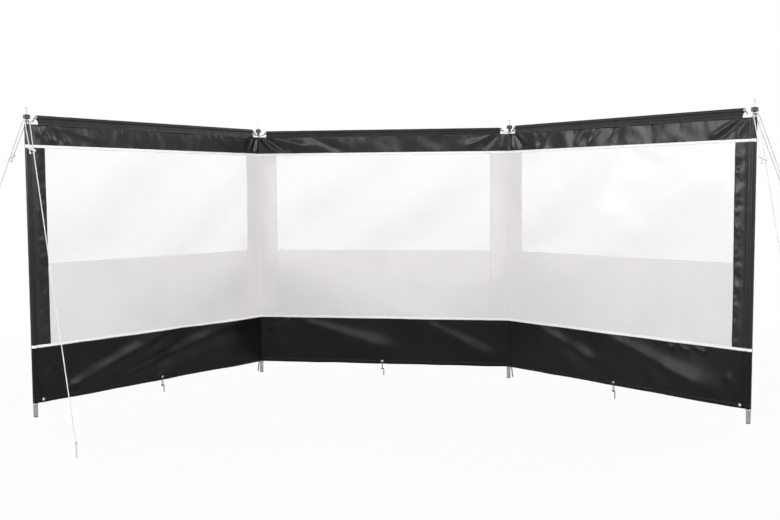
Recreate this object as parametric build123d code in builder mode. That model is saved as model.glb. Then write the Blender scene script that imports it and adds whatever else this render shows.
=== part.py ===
from build123d import *
import math
import os

os.makedirs("parts", exist_ok=True)

# A three-bay windbreak on four steel poles, with a clear window in each bay.
# Origin: the foot of pole 2 on the ground, on the pole's axis.
# +X runs along the middle bay to pole 3, +Z is up and -Y is the sheltered side,
# towards which both side bays are turned. Millimetres and degrees throughout.

# The row
bay_width = 1500.0
left_turn = 59.5
right_turn = 40.4

# Levels: the poles' tops above the ground, and the cloth and rails from there
pole_top = 1430.0
cloth_drop = 6.0
rail_sleeve_rise = 40.0
middle_rail_drop = 9.0
cloth_bottom = 70.0
bottom_band_height = 270.0
piping_height = 14.0
light_band_height = 396.0
top_band_height = 98.0

# Poles
pole_radius = 11.0
pole_wall = 1.0
foot_rim_height = 3.0
foot_plug_height = 25.0
plug_flange = 2.0
top_plug_height = 30.0
spike_radius = 4.0
spike_height = 74.0
spike_point = 7.0
spike_point_radius = 1.5

# Rails and their flattened eyes
rail_radius = 9.5
rail_wall = 1.0
rail_end = 46.0
flat_start = 26.0
flat_half_width = 11.0
eye_thickness = 3.0
eye_clearance = 0.5

# Knobs that close the pole tops
knob_hub_radius = 8.0
knob_neck = 15.0
knob_radius = 17.0
knob_height = 20.0
knob_round = 6.0
knob_bevel_steps = (0, 45, 90)

# Cloth
cloth_thickness = 3.0
piping_proud = 1.5
sleeve_thickness = 1.5
rail_sleeve_start = 52.0
pocket_thickness = 2.0
pocket_hem = 14.0
pocket_mouth = 6.0
inner_strip_width = 105.0
end_strip_width = 97.0

# Eyelets in the bottom hem
eyelet_height = 15.0
eyelet_hole_radius = 5.0
eyelet_barrel = 1.0
eyelet_flange_radius = 9.0
eyelet_flange = 1.0
eyelet_sides = 16
corner_eyelet_reach = 36.0

# Rubber loops and hooked ground pegs
bar_sides = 12
rubber_radius = 1.75
rubber_half_width = 5.0
rubber_clearance = 1.2
ground_peg_radius = 2.5
ground_peg_height = 40.0
ground_peg_nose = 18.0
ground_peg_bend = 4.0

# Webbing loops round the pole feet
webbing_height = 9.0
webbing_thickness = 1.6
webbing_clearance = 0.4
corner_loop_stretch = 16.0
corner_peg_radius = 3.0
corner_peg_lean = 10.0
left_peg_side = 145.0
right_peg_side = 46.0

# Guy ropes
left_front_heading = -50.1
left_back_heading = 158.8
right_front_heading = -85.7
right_back_heading = 38.8
rope_radius = 2.5
cord_sides = 8
rope_pitch = 5.5
rope_lead = 14.0
stake_reach = 850.0
stake_loop_height = 56.0
elbow_bend = 7.0
hub_flat = 0.3
knot_radius = 5.0
knot_spread = 8.0
knot_clearance = 0.3
tail_length = 24.0
slider_length = 44.0
slider_width = 12.0
slider_thickness = 5.0
slider_tilt = 35.0
slider_clearance = 0.4
left_front_slider_reach = 158.0
left_back_slider_reach = 200.0
right_front_slider_reach = 240.0
right_back_slider_reach = 370.0
stake_radius = 3.0
stake_height = 68.0
stake_nose = 24.0
stake_nose_rise = 25.0
stake_bend = 8.0

# Places worked out from the values above
cloth_top = pole_top - cloth_drop
rail_sleeve_top = pole_top + rail_sleeve_rise
cloth_back = pole_radius
cloth_front = pole_radius + cloth_thickness
pocket_radius = pole_radius + pocket_thickness
shoulder = pole_top + plug_flange
piping_front = cloth_front + piping_proud
lower_piping_level = cloth_bottom + bottom_band_height
light_band_level = lower_piping_level + piping_height
window_level = light_band_level + light_band_height
top_band_level = cloth_top - top_band_height
upper_piping_level = top_band_level - piping_height
hub_reach = knob_hub_radius + rope_radius
hub_bend = hub_reach - hub_flat
eyelet_cut = 2 * cloth_front
front_cut_side = 3 * pocket_radius
front_cut_depth = 4 * pocket_radius


def heading_vector(angle):
    """A level unit vector, at an angle in degrees from +X towards +Y."""
    return Vector(math.cos(math.radians(angle)), math.sin(math.radians(angle)), 0)


class Bay:
    """One bay: its place in the row, and how much the row turns at each of its poles."""

    def __init__(self, name, start, heading, start_turn, end_turn, rail_drop, eyes_below):
        self.name = name
        self.along = heading_vector(heading)
        self.back = Vector(-self.along.Y, self.along.X, 0)
        self.start = start
        self.start_turn = start_turn
        self.end_turn = end_turn
        self.sleeve_top = rail_sleeve_top - rail_drop
        self.eyes_below = eyes_below

    def place(self, along, out, height=0.0):
        """A point so far along the bay, behind the pole axes and above the ground."""
        return self.start + self.along * along + self.back * out + Vector(0, 0, height)

    def plan(self, height):
        """The bay's own plan view: x along the bay, y towards its back."""
        return Plane(origin=self.place(0, 0, height), x_dir=self.along, z_dir=(0, 0, 1))

    def section(self, along):
        """A cut across the bay: x towards its back, y up."""
        return Plane(origin=self.place(along, 0), x_dir=self.back, z_dir=self.along)

    def face(self, along, height):
        """The front of the bay: x along the bay, y up, looking at it from the back."""
        return Plane(origin=self.place(along, 0, height), x_dir=self.along, z_dir=self.back * -1)

    def corner(self, turn, depth):
        """Where cloth this far in front of the pole axes ends: a mitre, or a free edge."""
        if turn:
            return depth * math.tan(math.radians(turn / 2))
        return -pocket_radius


pole_2 = Vector(0, 0, 0)
pole_3 = Vector(bay_width, 0, 0)
pole_1 = pole_2 - heading_vector(left_turn) * bay_width
pole_4 = pole_3 + heading_vector(-right_turn) * bay_width
poles = [pole_1, pole_2, pole_3, pole_4]

left_bay = Bay("left", pole_1, left_turn, 0, left_turn, 0, (0, 1))
middle_bay = Bay("middle", pole_2, 0, left_turn, right_turn, middle_rail_drop, (0, 0))
right_bay = Bay("right", pole_3, -right_turn, right_turn, 0, 0, (1, 0))
bays = [left_bay, middle_bay, right_bay]
eyes_on_pole = [1, 2, 2, 1]


def write(piece, label):
    """Labels a finished piece and writes its file."""
    piece.part.label = label
    export_step(piece.part, f"parts/{label}.step")


def full_outline(bay, front, back):
    """Plan of a strip that runs from one pole to the next, mitred where the row turns."""
    return [
        (bay.corner(bay.start_turn, back), -back),
        (bay.corner(bay.start_turn, front), -front),
        (bay_width - bay.corner(bay.end_turn, front), -front),
        (bay_width - bay.corner(bay.end_turn, back), -back),
    ]


# Poles: steel tubes, each closed by a foot plug and by a plug with a spike on top
for number, axis in enumerate(poles, start=1):
    with BuildPart() as pole:
        with BuildSketch(Plane(origin=axis + Vector(0, 0, foot_rim_height))):
            Circle(pole_radius)
            Circle(pole_radius - pole_wall, mode=Mode.SUBTRACT)
        extrude(amount=pole_top - foot_rim_height)
    write(pole, f"pole_{number}")

    with BuildPart() as foot_plug:
        with BuildSketch(Plane(origin=axis)):
            Circle(pole_radius)
        extrude(amount=foot_rim_height)
        with BuildSketch(Plane(origin=axis + Vector(0, 0, foot_rim_height))):
            Circle(pole_radius - pole_wall)
        extrude(amount=foot_plug_height)
    write(foot_plug, f"foot_plug_{number}")

    with BuildPart() as spike:
        with BuildSketch(Plane(origin=axis, x_dir=(1, 0, 0), z_dir=(0, -1, 0))):
            with BuildLine():
                Polyline(
                    (0, pole_top - top_plug_height),
                    (pole_radius - pole_wall, pole_top - top_plug_height),
                    (pole_radius - pole_wall, pole_top),
                    (pole_radius, pole_top),
                    (pole_radius, shoulder),
                    (spike_radius, shoulder),
                    (spike_radius, shoulder + spike_height - spike_point),
                    (spike_point_radius, shoulder + spike_height),
                    (0, shoulder + spike_height),
                    close=True,
                )
            make_face()
        revolve(axis=Axis(axis, (0, 0, 1)))
    write(spike, f"spike_{number}")


# Knobs: a hub that presses on the rail eyes, with a round head above it
for number, (axis, eyes) in enumerate(zip(poles, eyes_on_pole), start=1):
    hub_level = shoulder + eyes * eye_thickness
    head_level = hub_level + knob_neck
    with BuildPart() as knob:
        with BuildSketch(Plane(origin=axis, x_dir=(1, 0, 0), z_dir=(0, -1, 0))):
            with BuildLine():
                Polyline(
                    (spike_radius, hub_level),
                    (knob_hub_radius, hub_level),
                    (knob_hub_radius, head_level),
                    (knob_radius, head_level),
                    *[
                        (
                            knob_radius - knob_round * (1 - math.cos(math.radians(step))),
                            head_level + knob_height - knob_round * (1 - math.sin(math.radians(step))),
                        )
                        for step in knob_bevel_steps
                    ],
                    (spike_radius, head_level + knob_height),
                    close=True,
                )
            make_face()
        revolve(axis=Axis(axis, (0, 0, 1)))
    write(knob, f"knob_{number}")


# Rails: steel tubes whose ends are squashed flat, bent down and drilled for the spike
for bay in bays:
    axis_level = bay.sleeve_top - sleeve_thickness - rail_radius
    ends = [(0, 1, bay.eyes_below[0]), (bay_width, -1, bay.eyes_below[1])]
    with BuildPart() as rail:
        with BuildSketch(bay.section(rail_end)):
            with Locations((0, axis_level)):
                Circle(rail_radius)
                Circle(rail_radius - rail_wall, mode=Mode.SUBTRACT)
        extrude(amount=bay_width - 2 * rail_end)
        for pole_along, way, eyes_below in ends:
            eye_level = shoulder + eyes_below * eye_thickness
            with BuildSketch(bay.section(pole_along + way * rail_end)):
                with Locations((0, axis_level)):
                    Circle(rail_radius)
            with BuildSketch(bay.section(pole_along + way * flat_start)):
                with Locations((0, eye_level + eye_thickness / 2)):
                    Ellipse(flat_half_width, eye_thickness / 2)
            loft()
            with BuildSketch(bay.plan(eye_level)):
                with Locations((pole_along, 0)):
                    Circle(flat_half_width)
                with Locations((pole_along + way * flat_start / 2, 0)):
                    Rectangle(flat_start, 2 * flat_half_width)
                with Locations((pole_along, 0)):
                    Circle(spike_radius + eye_clearance, mode=Mode.SUBTRACT)
            extrude(amount=eye_thickness)
    write(rail, f"rail_{bay.name}")


# Rail sleeves: cloth folded over each rail and sewn to the band below it
for bay in bays:
    axis_level = bay.sleeve_top - sleeve_thickness - rail_radius
    with BuildPart() as rail_sleeve:
        with BuildSketch(bay.section(rail_sleeve_start)):
            with BuildLine():
                CenterArc((0, axis_level), rail_radius + sleeve_thickness, 0, 360)
                Line((-cloth_front, cloth_top), (-cloth_back, cloth_top))
            make_hull()
            offset(amount=-sleeve_thickness, mode=Mode.SUBTRACT)
        extrude(amount=bay_width - 2 * rail_sleeve_start)
    write(rail_sleeve, f"rail_sleeve_{bay.name}")


# Bands and pipings: strips that run across each bay from pole to pole
strips = [
    ("top_band", top_band_level, top_band_height, cloth_front),
    ("upper_piping", upper_piping_level, piping_height, piping_front),
    ("lower_piping", lower_piping_level, piping_height, piping_front),
]
for bay in bays:
    for name, level, height, front in strips:
        with BuildPart() as strip:
            with BuildSketch(bay.plan(level)):
                Polygon(*full_outline(bay, front, cloth_back), align=None)
            extrude(amount=height)
        write(strip, f"{name}_{bay.name}")


# Eyelet places along each bay: one half way, and one beside each end pole
eyelet_places = [
    (left_bay, corner_eyelet_reach),
    (left_bay, bay_width / 2),
    (middle_bay, bay_width / 2),
    (right_bay, bay_width / 2),
    (right_bay, bay_width - corner_eyelet_reach),
]
eyelet_level = cloth_bottom + eyelet_height
eyelet_radius = eyelet_hole_radius + eyelet_barrel

for bay in bays:
    with BuildPart() as bottom_band:
        with BuildSketch(bay.plan(cloth_bottom)):
            Polygon(*full_outline(bay, cloth_front, cloth_back), align=None)
        extrude(amount=bottom_band_height)
        for eyelet_bay, along in eyelet_places:
            if eyelet_bay is bay:
                with BuildSketch(bay.face(along, eyelet_level)):
                    RegularPolygon(eyelet_radius, eyelet_sides)
                extrude(amount=eyelet_cut, mode=Mode.SUBTRACT)
    write(bottom_band, f"bottom_band_{bay.name}")

with BuildPart() as eyelets:
    for bay, along in eyelet_places:
        for offset_out, radius, length in [
            (cloth_back, eyelet_radius, cloth_thickness),
            (cloth_back - eyelet_flange, eyelet_flange_radius, eyelet_flange),
            (cloth_front, eyelet_flange_radius, eyelet_flange),
        ]:
            with BuildSketch(bay.face(along, eyelet_level).offset(offset_out)):
                RegularPolygon(radius, eyelet_sides)
                RegularPolygon(eyelet_hole_radius, eyelet_sides, mode=Mode.SUBTRACT)
            extrude(amount=length)
write(eyelets, "eyelets")


# Windows and light bands: panes between the upright strips
for bay in bays:
    first = inner_strip_width if bay.start_turn else end_strip_width - pocket_radius
    last = inner_strip_width if bay.end_turn else end_strip_width - pocket_radius
    for name, level, height in [
        ("light_band", light_band_level, light_band_height),
        ("window", window_level, upper_piping_level - window_level),
    ]:
        with BuildPart() as pane:
            with BuildSketch(bay.plan(level)):
                with Locations((first, -cloth_front)):
                    Rectangle(bay_width - first - last, cloth_thickness, align=(Align.MIN, Align.MIN))
            extrude(amount=height)
        write(pane, f"{name}_{bay.name}")


# Upright strips: light ones bent round the two inner poles, black ones at the row's ends
strip_height = upper_piping_level - light_band_level
for name, bay_before, bay_after in [("left", left_bay, middle_bay), ("right", middle_bay, right_bay)]:
    turn = bay_after.start_turn
    with BuildPart() as inner_strip:
        with BuildSketch(bay_before.plan(light_band_level)):
            Polygon(
                (bay_width - inner_strip_width, -cloth_back),
                (bay_width - inner_strip_width, -cloth_front),
                (bay_width - bay_before.corner(turn, cloth_front), -cloth_front),
                (bay_width - bay_before.corner(turn, cloth_back), -cloth_back),
                align=None,
            )
        extrude(amount=strip_height)
        with BuildSketch(bay_after.plan(light_band_level)):
            Polygon(
                (bay_after.corner(turn, cloth_back), -cloth_back),
                (bay_after.corner(turn, cloth_front), -cloth_front),
                (inner_strip_width, -cloth_front),
                (inner_strip_width, -cloth_back),
                align=None,
            )
        extrude(amount=strip_height)
    write(inner_strip, f"inner_strip_{name}")

for bay, edge in [(left_bay, -pocket_radius), (right_bay, bay_width + pocket_radius - end_strip_width)]:
    with BuildPart() as end_strip:
        with BuildSketch(bay.plan(light_band_level)):
            with Locations((edge, -cloth_front)):
                Rectangle(end_strip_width, cloth_thickness, align=(Align.MIN, Align.MIN))
        extrude(amount=strip_height)
    write(end_strip, f"end_strip_{bay.name}")


# Pole pockets: cloth sewn round the back of each pole, with a hem along the panel
pocket_sides = [
    [(left_bay, 0, 1)],
    [(left_bay, bay_width, -1), (middle_bay, 0, 1)],
    [(middle_bay, bay_width, -1), (right_bay, 0, 1)],
    [(right_bay, bay_width, -1)],
]
for number, (axis, sides) in enumerate(zip(poles, pocket_sides), start=1):
    with BuildPart() as pocket:
        with BuildSketch(Plane(origin=axis + Vector(0, 0, cloth_bottom))):
            Circle(pocket_radius)
        extrude(amount=cloth_top - cloth_bottom)
        for bay, pole_along, way in sides:
            with BuildSketch(bay.plan(cloth_bottom)):
                with Locations((pole_along + way * (pocket_radius + pocket_hem) / 2, -cloth_back)):
                    Rectangle(
                        pocket_radius + pocket_hem, pocket_thickness, align=(Align.CENTER, Align.MIN)
                    )
            extrude(amount=cloth_top - cloth_bottom)
        with BuildSketch(Plane(origin=axis + Vector(0, 0, cloth_bottom))):
            Circle(pole_radius)
        extrude(amount=cloth_top - cloth_bottom, mode=Mode.SUBTRACT)
        first_bay, first_along, _ = sides[0]
        last_bay, last_along, _ = sides[-1]
        front_points = [
            first_bay.place(first_along - front_cut_side, -cloth_back),
            first_bay.place(first_along - front_cut_side, -front_cut_depth),
            last_bay.place(last_along + front_cut_side, -front_cut_depth),
            last_bay.place(last_along + front_cut_side, -cloth_back),
        ]
        if first_bay is last_bay:
            # At an end pole the panel itself closes the front of the pocket
            with BuildSketch(last_bay.plan(cloth_bottom)):
                with Locations((last_along, -pocket_radius / 2)):
                    Rectangle(2 * pocket_mouth, pocket_radius)
            extrude(amount=cloth_top - cloth_bottom, mode=Mode.SUBTRACT)
        else:
            mitre = last_bay.corner(last_bay.start_turn, cloth_back)
            front_points.append(last_bay.place(mitre, -cloth_back))
        with BuildSketch(Plane.XY.offset(cloth_bottom)):
            Polygon(*[(point.X, point.Y) for point in front_points], align=None)
        extrude(amount=cloth_top - cloth_bottom, mode=Mode.SUBTRACT)
    write(pocket, f"pole_pocket_{number}")


# Hooked ground pegs and the rubber loops that tie the middle of each hem to them
loop_top = eyelet_level - eyelet_hole_radius + rubber_radius + rubber_clearance
loop_bottom = ground_peg_height - ground_peg_radius - rubber_radius
cloth_middle = (cloth_front + cloth_back) / 2

with BuildPart() as ground_pegs:
    for bay in bays:
        shaft_along = bay_width / 2 + ground_peg_nose / 2
        with BuildLine():
            FilletPolyline(
                bay.place(shaft_along, -cloth_middle, 0),
                bay.place(shaft_along, -cloth_middle, ground_peg_height),
                bay.place(shaft_along - ground_peg_nose, -cloth_middle, ground_peg_height),
                radius=ground_peg_bend,
            )
        with BuildSketch(Plane(origin=bay.place(shaft_along, -cloth_middle, 0))):
            RegularPolygon(ground_peg_radius, bar_sides)
        sweep()
write(ground_pegs, "ground_pegs")

with BuildPart() as rubber_loops:
    for bay in bays:
        with BuildLine(bay.section(bay_width / 2)):
            low = loop_bottom + rubber_half_width
            high = loop_top - rubber_half_width
            Line((-cloth_middle - rubber_half_width, low), (-cloth_middle - rubber_half_width, high))
            CenterArc((-cloth_middle, high), rubber_half_width, 180, -180)
            Line((-cloth_middle + rubber_half_width, high), (-cloth_middle + rubber_half_width, low))
            CenterArc((-cloth_middle, low), rubber_half_width, 0, -180)
        with BuildSketch(Plane(origin=bay.place(bay_width / 2, -cloth_middle - rubber_half_width, low))):
            RegularPolygon(rubber_radius, cord_sides)
        sweep()
write(rubber_loops, "rubber_loops")


# Webbing loops round the pole feet; at the inner poles each is held by a leaning peg
webbing_inside = pole_radius + webbing_clearance
webbing_outside = webbing_inside + webbing_thickness
corner_peg_sides = {2: left_peg_side, 3: right_peg_side}

with BuildPart() as webbing_loops:
    for number, axis in enumerate(poles, start=1):
        level = axis + Vector(0, 0, cloth_bottom - webbing_height)
        stretch = corner_loop_stretch if number in corner_peg_sides else 0.0
        side = heading_vector(corner_peg_sides.get(number, 0.0))
        with BuildSketch(Plane(origin=level, x_dir=side, z_dir=(0, 0, 1))):
            for radius, mode in [(webbing_outside, Mode.ADD), (webbing_inside, Mode.SUBTRACT)]:
                Circle(radius, mode=mode)
                if stretch:
                    with Locations((stretch, 0)):
                        Circle(radius, mode=mode)
                    with Locations((stretch / 2, 0)):
                        Rectangle(stretch, 2 * radius, mode=mode)
        extrude(amount=webbing_height)
write(webbing_loops, "webbing_loops")

with BuildPart() as corner_pegs:
    for number, side in corner_peg_sides.items():
        out = corner_loop_stretch + webbing_inside - corner_peg_radius
        top = poles[number - 1] + heading_vector(side) * out + Vector(0, 0, cloth_bottom)
        foot = top + heading_vector(side) * corner_peg_lean - Vector(0, 0, cloth_bottom)
        with BuildSketch(Plane(origin=foot)):
            Circle(corner_peg_radius)
        with BuildSketch(Plane(origin=top - Vector(0, 0, webbing_height))):
            Circle(corner_peg_radius)
        loft()
write(corner_pegs, "corner_pegs")


class Guy:
    """One guy rope: the pole that it holds, its heading, its slider and its place on the hub."""

    def __init__(self, name, axis, heading, order, slider_reach):
        self.name = name
        self.out = heading_vector(heading)
        self.side = Vector(-self.out.Y, self.out.X, 0)
        loop_level = shoulder + eye_thickness + rope_radius + order * rope_pitch
        self.hub = axis + Vector(0, 0, loop_level)
        self.stake = axis + self.out * stake_reach
        self.stake_loop = self.stake + Vector(0, 0, stake_loop_height)
        self.stake_knot = self.stake_loop - self.out * (stake_radius + knot_radius + knot_clearance)
        self.elbow = self.hub + self.out * rope_lead
        self.fall = (self.stake_knot - self.elbow).normalized()
        self.slider_reach = slider_reach
        self.slider = self.elbow + self.fall * slider_reach
        self.knot = self.slider + self.fall * tail_length

    def loop_point(self, along, way):
        """A point on the loop round the hub, level with it and on one side of it."""
        return self.hub + self.out * along + self.side * (way * hub_reach)

    def knot_point(self, way):
        """The lower end of one strand of the loop, just below the slider."""
        return self.knot + self.side * (way * knot_spread)

    def slider_point(self, way):
        """Where one strand of the loop passes through the slider."""
        share = self.slider_reach / (self.slider_reach + tail_length)
        start = self.loop_point(rope_lead, way)
        return start + (self.knot_point(way) - start) * share


guys = [
    Guy("left_front", pole_1, left_front_heading, 0, left_front_slider_reach),
    Guy("left_back", pole_1, left_back_heading, 1, left_back_slider_reach),
    Guy("right_front", pole_4, right_front_heading, 0, right_front_slider_reach),
    Guy("right_back", pole_4, right_back_heading, 1, right_back_slider_reach),
]

for guy in guys:
    with BuildPart() as guy_rope:
        with BuildLine():
            FilletPolyline(
                guy.knot_point(-1),
                guy.loop_point(rope_lead, -1),
                guy.loop_point(-hub_reach, -1),
                guy.loop_point(-hub_reach, 1),
                guy.loop_point(rope_lead, 1),
                guy.knot_point(1),
                radius=[elbow_bend, hub_bend, hub_bend, elbow_bend],
            )
        start_way = guy.loop_point(rope_lead, -1) - guy.knot_point(-1)
        with BuildSketch(Plane(origin=guy.knot_point(-1), z_dir=start_way)):
            RegularPolygon(rope_radius, cord_sides)
        sweep()
        main_run = guy.stake_knot - guy.knot_point(1)
        for centre in (guy.knot_point(-1), guy.knot_point(1), guy.stake_knot):
            for step, radius in [(-1, rope_radius), (0, knot_radius), (1, rope_radius)]:
                across = Plane(origin=centre, z_dir=main_run)
                with BuildSketch(across.offset(step * knot_radius)):
                    RegularPolygon(radius, cord_sides)
            loft(ruled=True)
        with BuildSketch(Plane(origin=guy.knot_point(1), z_dir=main_run)):
            RegularPolygon(rope_radius, cord_sides)
        extrude(amount=main_run.length)
        with BuildSketch(Plane(origin=guy.stake_loop - Vector(0, 0, rope_radius))):
            Circle(stake_radius + 2 * rope_radius)
            Circle(stake_radius, mode=Mode.SUBTRACT)
        extrude(amount=2 * rope_radius)
    write(guy_rope, f"guy_rope_{guy.name}")

with BuildPart() as rope_sliders:
    for guy in guys:
        tilt = math.radians(slider_tilt)
        bar_way = guy.side * math.cos(tilt) + guy.fall * math.sin(tilt)
        bar_normal = guy.fall * math.cos(tilt) - guy.side * math.sin(tilt)
        with BuildSketch(Plane(origin=guy.slider, x_dir=bar_way, z_dir=bar_normal)):
            SlotOverall(slider_length, slider_width)
        extrude(amount=slider_thickness / 2, both=True)
        for way in (1, -1):
            hole = guy.slider_point(way)
            with Locations(Plane(origin=hole, z_dir=guy.knot_point(way) - hole)):
                Cylinder(rope_radius + slider_clearance, slider_length, mode=Mode.SUBTRACT)
write(rope_sliders, "rope_sliders")

with BuildPart() as stakes:
    for guy in guys:
        rise = math.radians(stake_nose_rise)
        bend_point = guy.stake + Vector(0, 0, stake_height)
        nose = guy.out * (stake_nose * math.cos(rise)) + Vector(0, 0, stake_nose * math.sin(rise))
        with BuildLine():
            FilletPolyline(guy.stake, bend_point, bend_point + nose, radius=stake_bend)
        with BuildSketch(Plane(origin=guy.stake)):
            RegularPolygon(stake_radius, bar_sides)
        sweep()
write(stakes, "guy_stakes")
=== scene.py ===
"""Looks of a three-bay windbreak: coated cloth, clear film, steel poles, rails and guy ropes.

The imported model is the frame. Poles, rails, knobs, pegs and eyelets keep their solids and get
a finish here. Cloth, film, webbing, rubber and rope are rebuilt as soft pieces in their place.
Everything is in metres: X along the middle bay, Z up, and the sheltered side towards -Y.
"""

from __future__ import annotations

import logging
import math
from collections.abc import Sequence
from dataclasses import dataclass, field
from enum import Enum
from functools import cached_property

import bmesh
import bpy
import numpy as np
from mathutils import Matrix, Vector

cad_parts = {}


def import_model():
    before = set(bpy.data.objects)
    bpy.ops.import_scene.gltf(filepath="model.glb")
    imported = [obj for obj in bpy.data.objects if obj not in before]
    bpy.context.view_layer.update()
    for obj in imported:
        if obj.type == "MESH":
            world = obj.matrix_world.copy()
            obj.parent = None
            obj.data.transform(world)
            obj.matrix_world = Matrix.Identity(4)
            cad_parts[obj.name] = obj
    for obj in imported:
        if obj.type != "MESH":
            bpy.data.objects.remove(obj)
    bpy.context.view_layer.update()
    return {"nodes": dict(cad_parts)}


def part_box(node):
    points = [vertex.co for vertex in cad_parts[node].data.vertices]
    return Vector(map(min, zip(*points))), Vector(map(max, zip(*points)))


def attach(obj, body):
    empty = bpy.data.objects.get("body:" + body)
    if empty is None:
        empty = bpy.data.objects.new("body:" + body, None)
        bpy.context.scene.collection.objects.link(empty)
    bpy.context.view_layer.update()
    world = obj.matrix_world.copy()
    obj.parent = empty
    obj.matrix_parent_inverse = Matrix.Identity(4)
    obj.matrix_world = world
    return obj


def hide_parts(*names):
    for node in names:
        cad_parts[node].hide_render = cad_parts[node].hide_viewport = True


LOG = logging.getLogger("windbreak")
MM = 0.001
BODY = "root"
PHOTO_WIDTH = 780
BAYS = ("left", "middle", "right")
# Half the depth of the groove between two strands, as a share of the rope's radius.
STRAND_DIP = 0.14


class Slot(Enum):
    """The material slots of the record."""

    BLACK_CLOTH = "black_cloth"
    LIGHT_CLOTH = "light_cloth"
    WHITE_PIPING = "white_piping"
    CLEAR_FILM = "clear_film"
    GALVANISED_TUBE = "galvanised_tube"
    BRIGHT_STEEL = "bright_steel"
    BLACK_PLASTIC = "black_plastic"
    WHITE_ROPE = "white_rope"
    WHITE_PLASTIC = "white_plastic"
    ZINC_PEGS = "zinc_pegs"
    DARK_PEGS = "dark_pegs"
    BLACK_RUBBER = "black_rubber"
    NICKEL_EYELETS = "nickel_eyelets"
    GREY_WEBBING = "grey_webbing"


# Shader helpers


def linear(colour: str) -> tuple[float, float, float, float]:
    """Turns an sRGB hex colour into Blender's linear one.

    Args:
        colour: Six hex digits after a hash sign.

    Returns:
        Linear red, green and blue, with an alpha of 1.
    """
    parts = [int(colour[place : place + 2], 16) / 255 for place in (1, 3, 5)]
    bent = [part / 12.92 if part <= 0.04045 else ((part + 0.055) / 1.055) ** 2.4 for part in parts]
    return (bent[0], bent[1], bent[2], 1.0)


def add(
    tree: bpy.types.NodeTree, kind: str, inputs: dict[str | int, object] | None = None, **settings: object
) -> bpy.types.Node:
    """Adds one node with its settings and its inputs.

    Args:
        tree: The node tree that gets the node.
        kind: Blender's name for the kind of node.
        inputs: Input sockets by name or index, each with a value or an output socket to link.
        **settings: Properties of the node itself.

    Returns:
        The new node.
    """
    node = tree.nodes.new(kind)
    for name, value in settings.items():
        setattr(node, name, value)
    for socket, value in (inputs or {}).items():
        if isinstance(value, bpy.types.NodeSocket):
            tree.links.new(value, node.inputs[socket])
        else:
            node.inputs[socket].default_value = value
    return node


def wave_scale(spacing: float) -> float:
    """The scale at which a wave texture's bands lie this far apart, in metres."""
    return 2 * math.pi / 20 / spacing


# Finishes


@dataclass(frozen=True)
class Finish:
    """What every finish has: a name, the slot it belongs to, a colour and a roughness."""

    name: str
    slot: Slot
    colour: str
    roughness: float

    def build(self) -> bpy.types.Material:
        """Makes the material.

        Returns:
            A material with a principled shader that the finish has dressed.
        """
        material = bpy.data.materials.new(self.name)
        material.use_nodes = True
        tree = material.node_tree
        shader = tree.nodes["Principled BSDF"]
        shader.inputs["Base Color"].default_value = linear(self.colour)
        shader.inputs["Roughness"].default_value = self.roughness
        self.dress(tree, shader)
        return material

    def dress(self, tree: bpy.types.NodeTree, shader: bpy.types.Node) -> None:
        """Adds what is special to this finish. A plain finish adds nothing."""

    @staticmethod
    def surface_place(tree: bpy.types.NodeTree) -> bpy.types.NodeSocket:
        """The place on the piece's own UV map, in metres."""
        return add(tree, "ShaderNodeUVMap", uv_map="UVMap").outputs["UV"]

    @staticmethod
    def solid_place(tree: bpy.types.NodeTree) -> bpy.types.NodeSocket:
        """The place in the row, in metres."""
        return add(tree, "ShaderNodeTexCoord").outputs["Object"]

    def tint(
        self, tree: bpy.types.NodeTree, factor: bpy.types.NodeSocket, other: str
    ) -> bpy.types.NodeSocket:
        """Blends this finish's colour with another by a pattern.

        Args:
            tree: The material's node tree.
            factor: The pattern, from 0 for this colour to 1 for the other.
            other: The other colour.

        Returns:
            The blended colour.
        """
        mix = add(
            tree,
            "ShaderNodeMix",
            {0: factor, 6: linear(self.colour), 7: linear(other)},
            data_type="RGBA",
        )
        return mix.outputs[2]


def spread(
    tree: bpy.types.NodeTree, value: bpy.types.NodeSocket, low: float, high: float, start: float, end: float
) -> bpy.types.NodeSocket:
    """Maps a pattern's values from low..high to start..end.

    Args:
        tree: The node tree.
        value: The pattern.
        low: The pattern's value that becomes start.
        high: The pattern's value that becomes end.
        start: First value of the result.
        end: Last value of the result.

    Returns:
        The mapped pattern, held within start and end.
    """
    node = add(
        tree,
        "ShaderNodeMapRange",
        {"Value": value, "From Min": low, "From Max": high, "To Min": start, "To Max": end},
    )
    return node.outputs["Result"]


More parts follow.
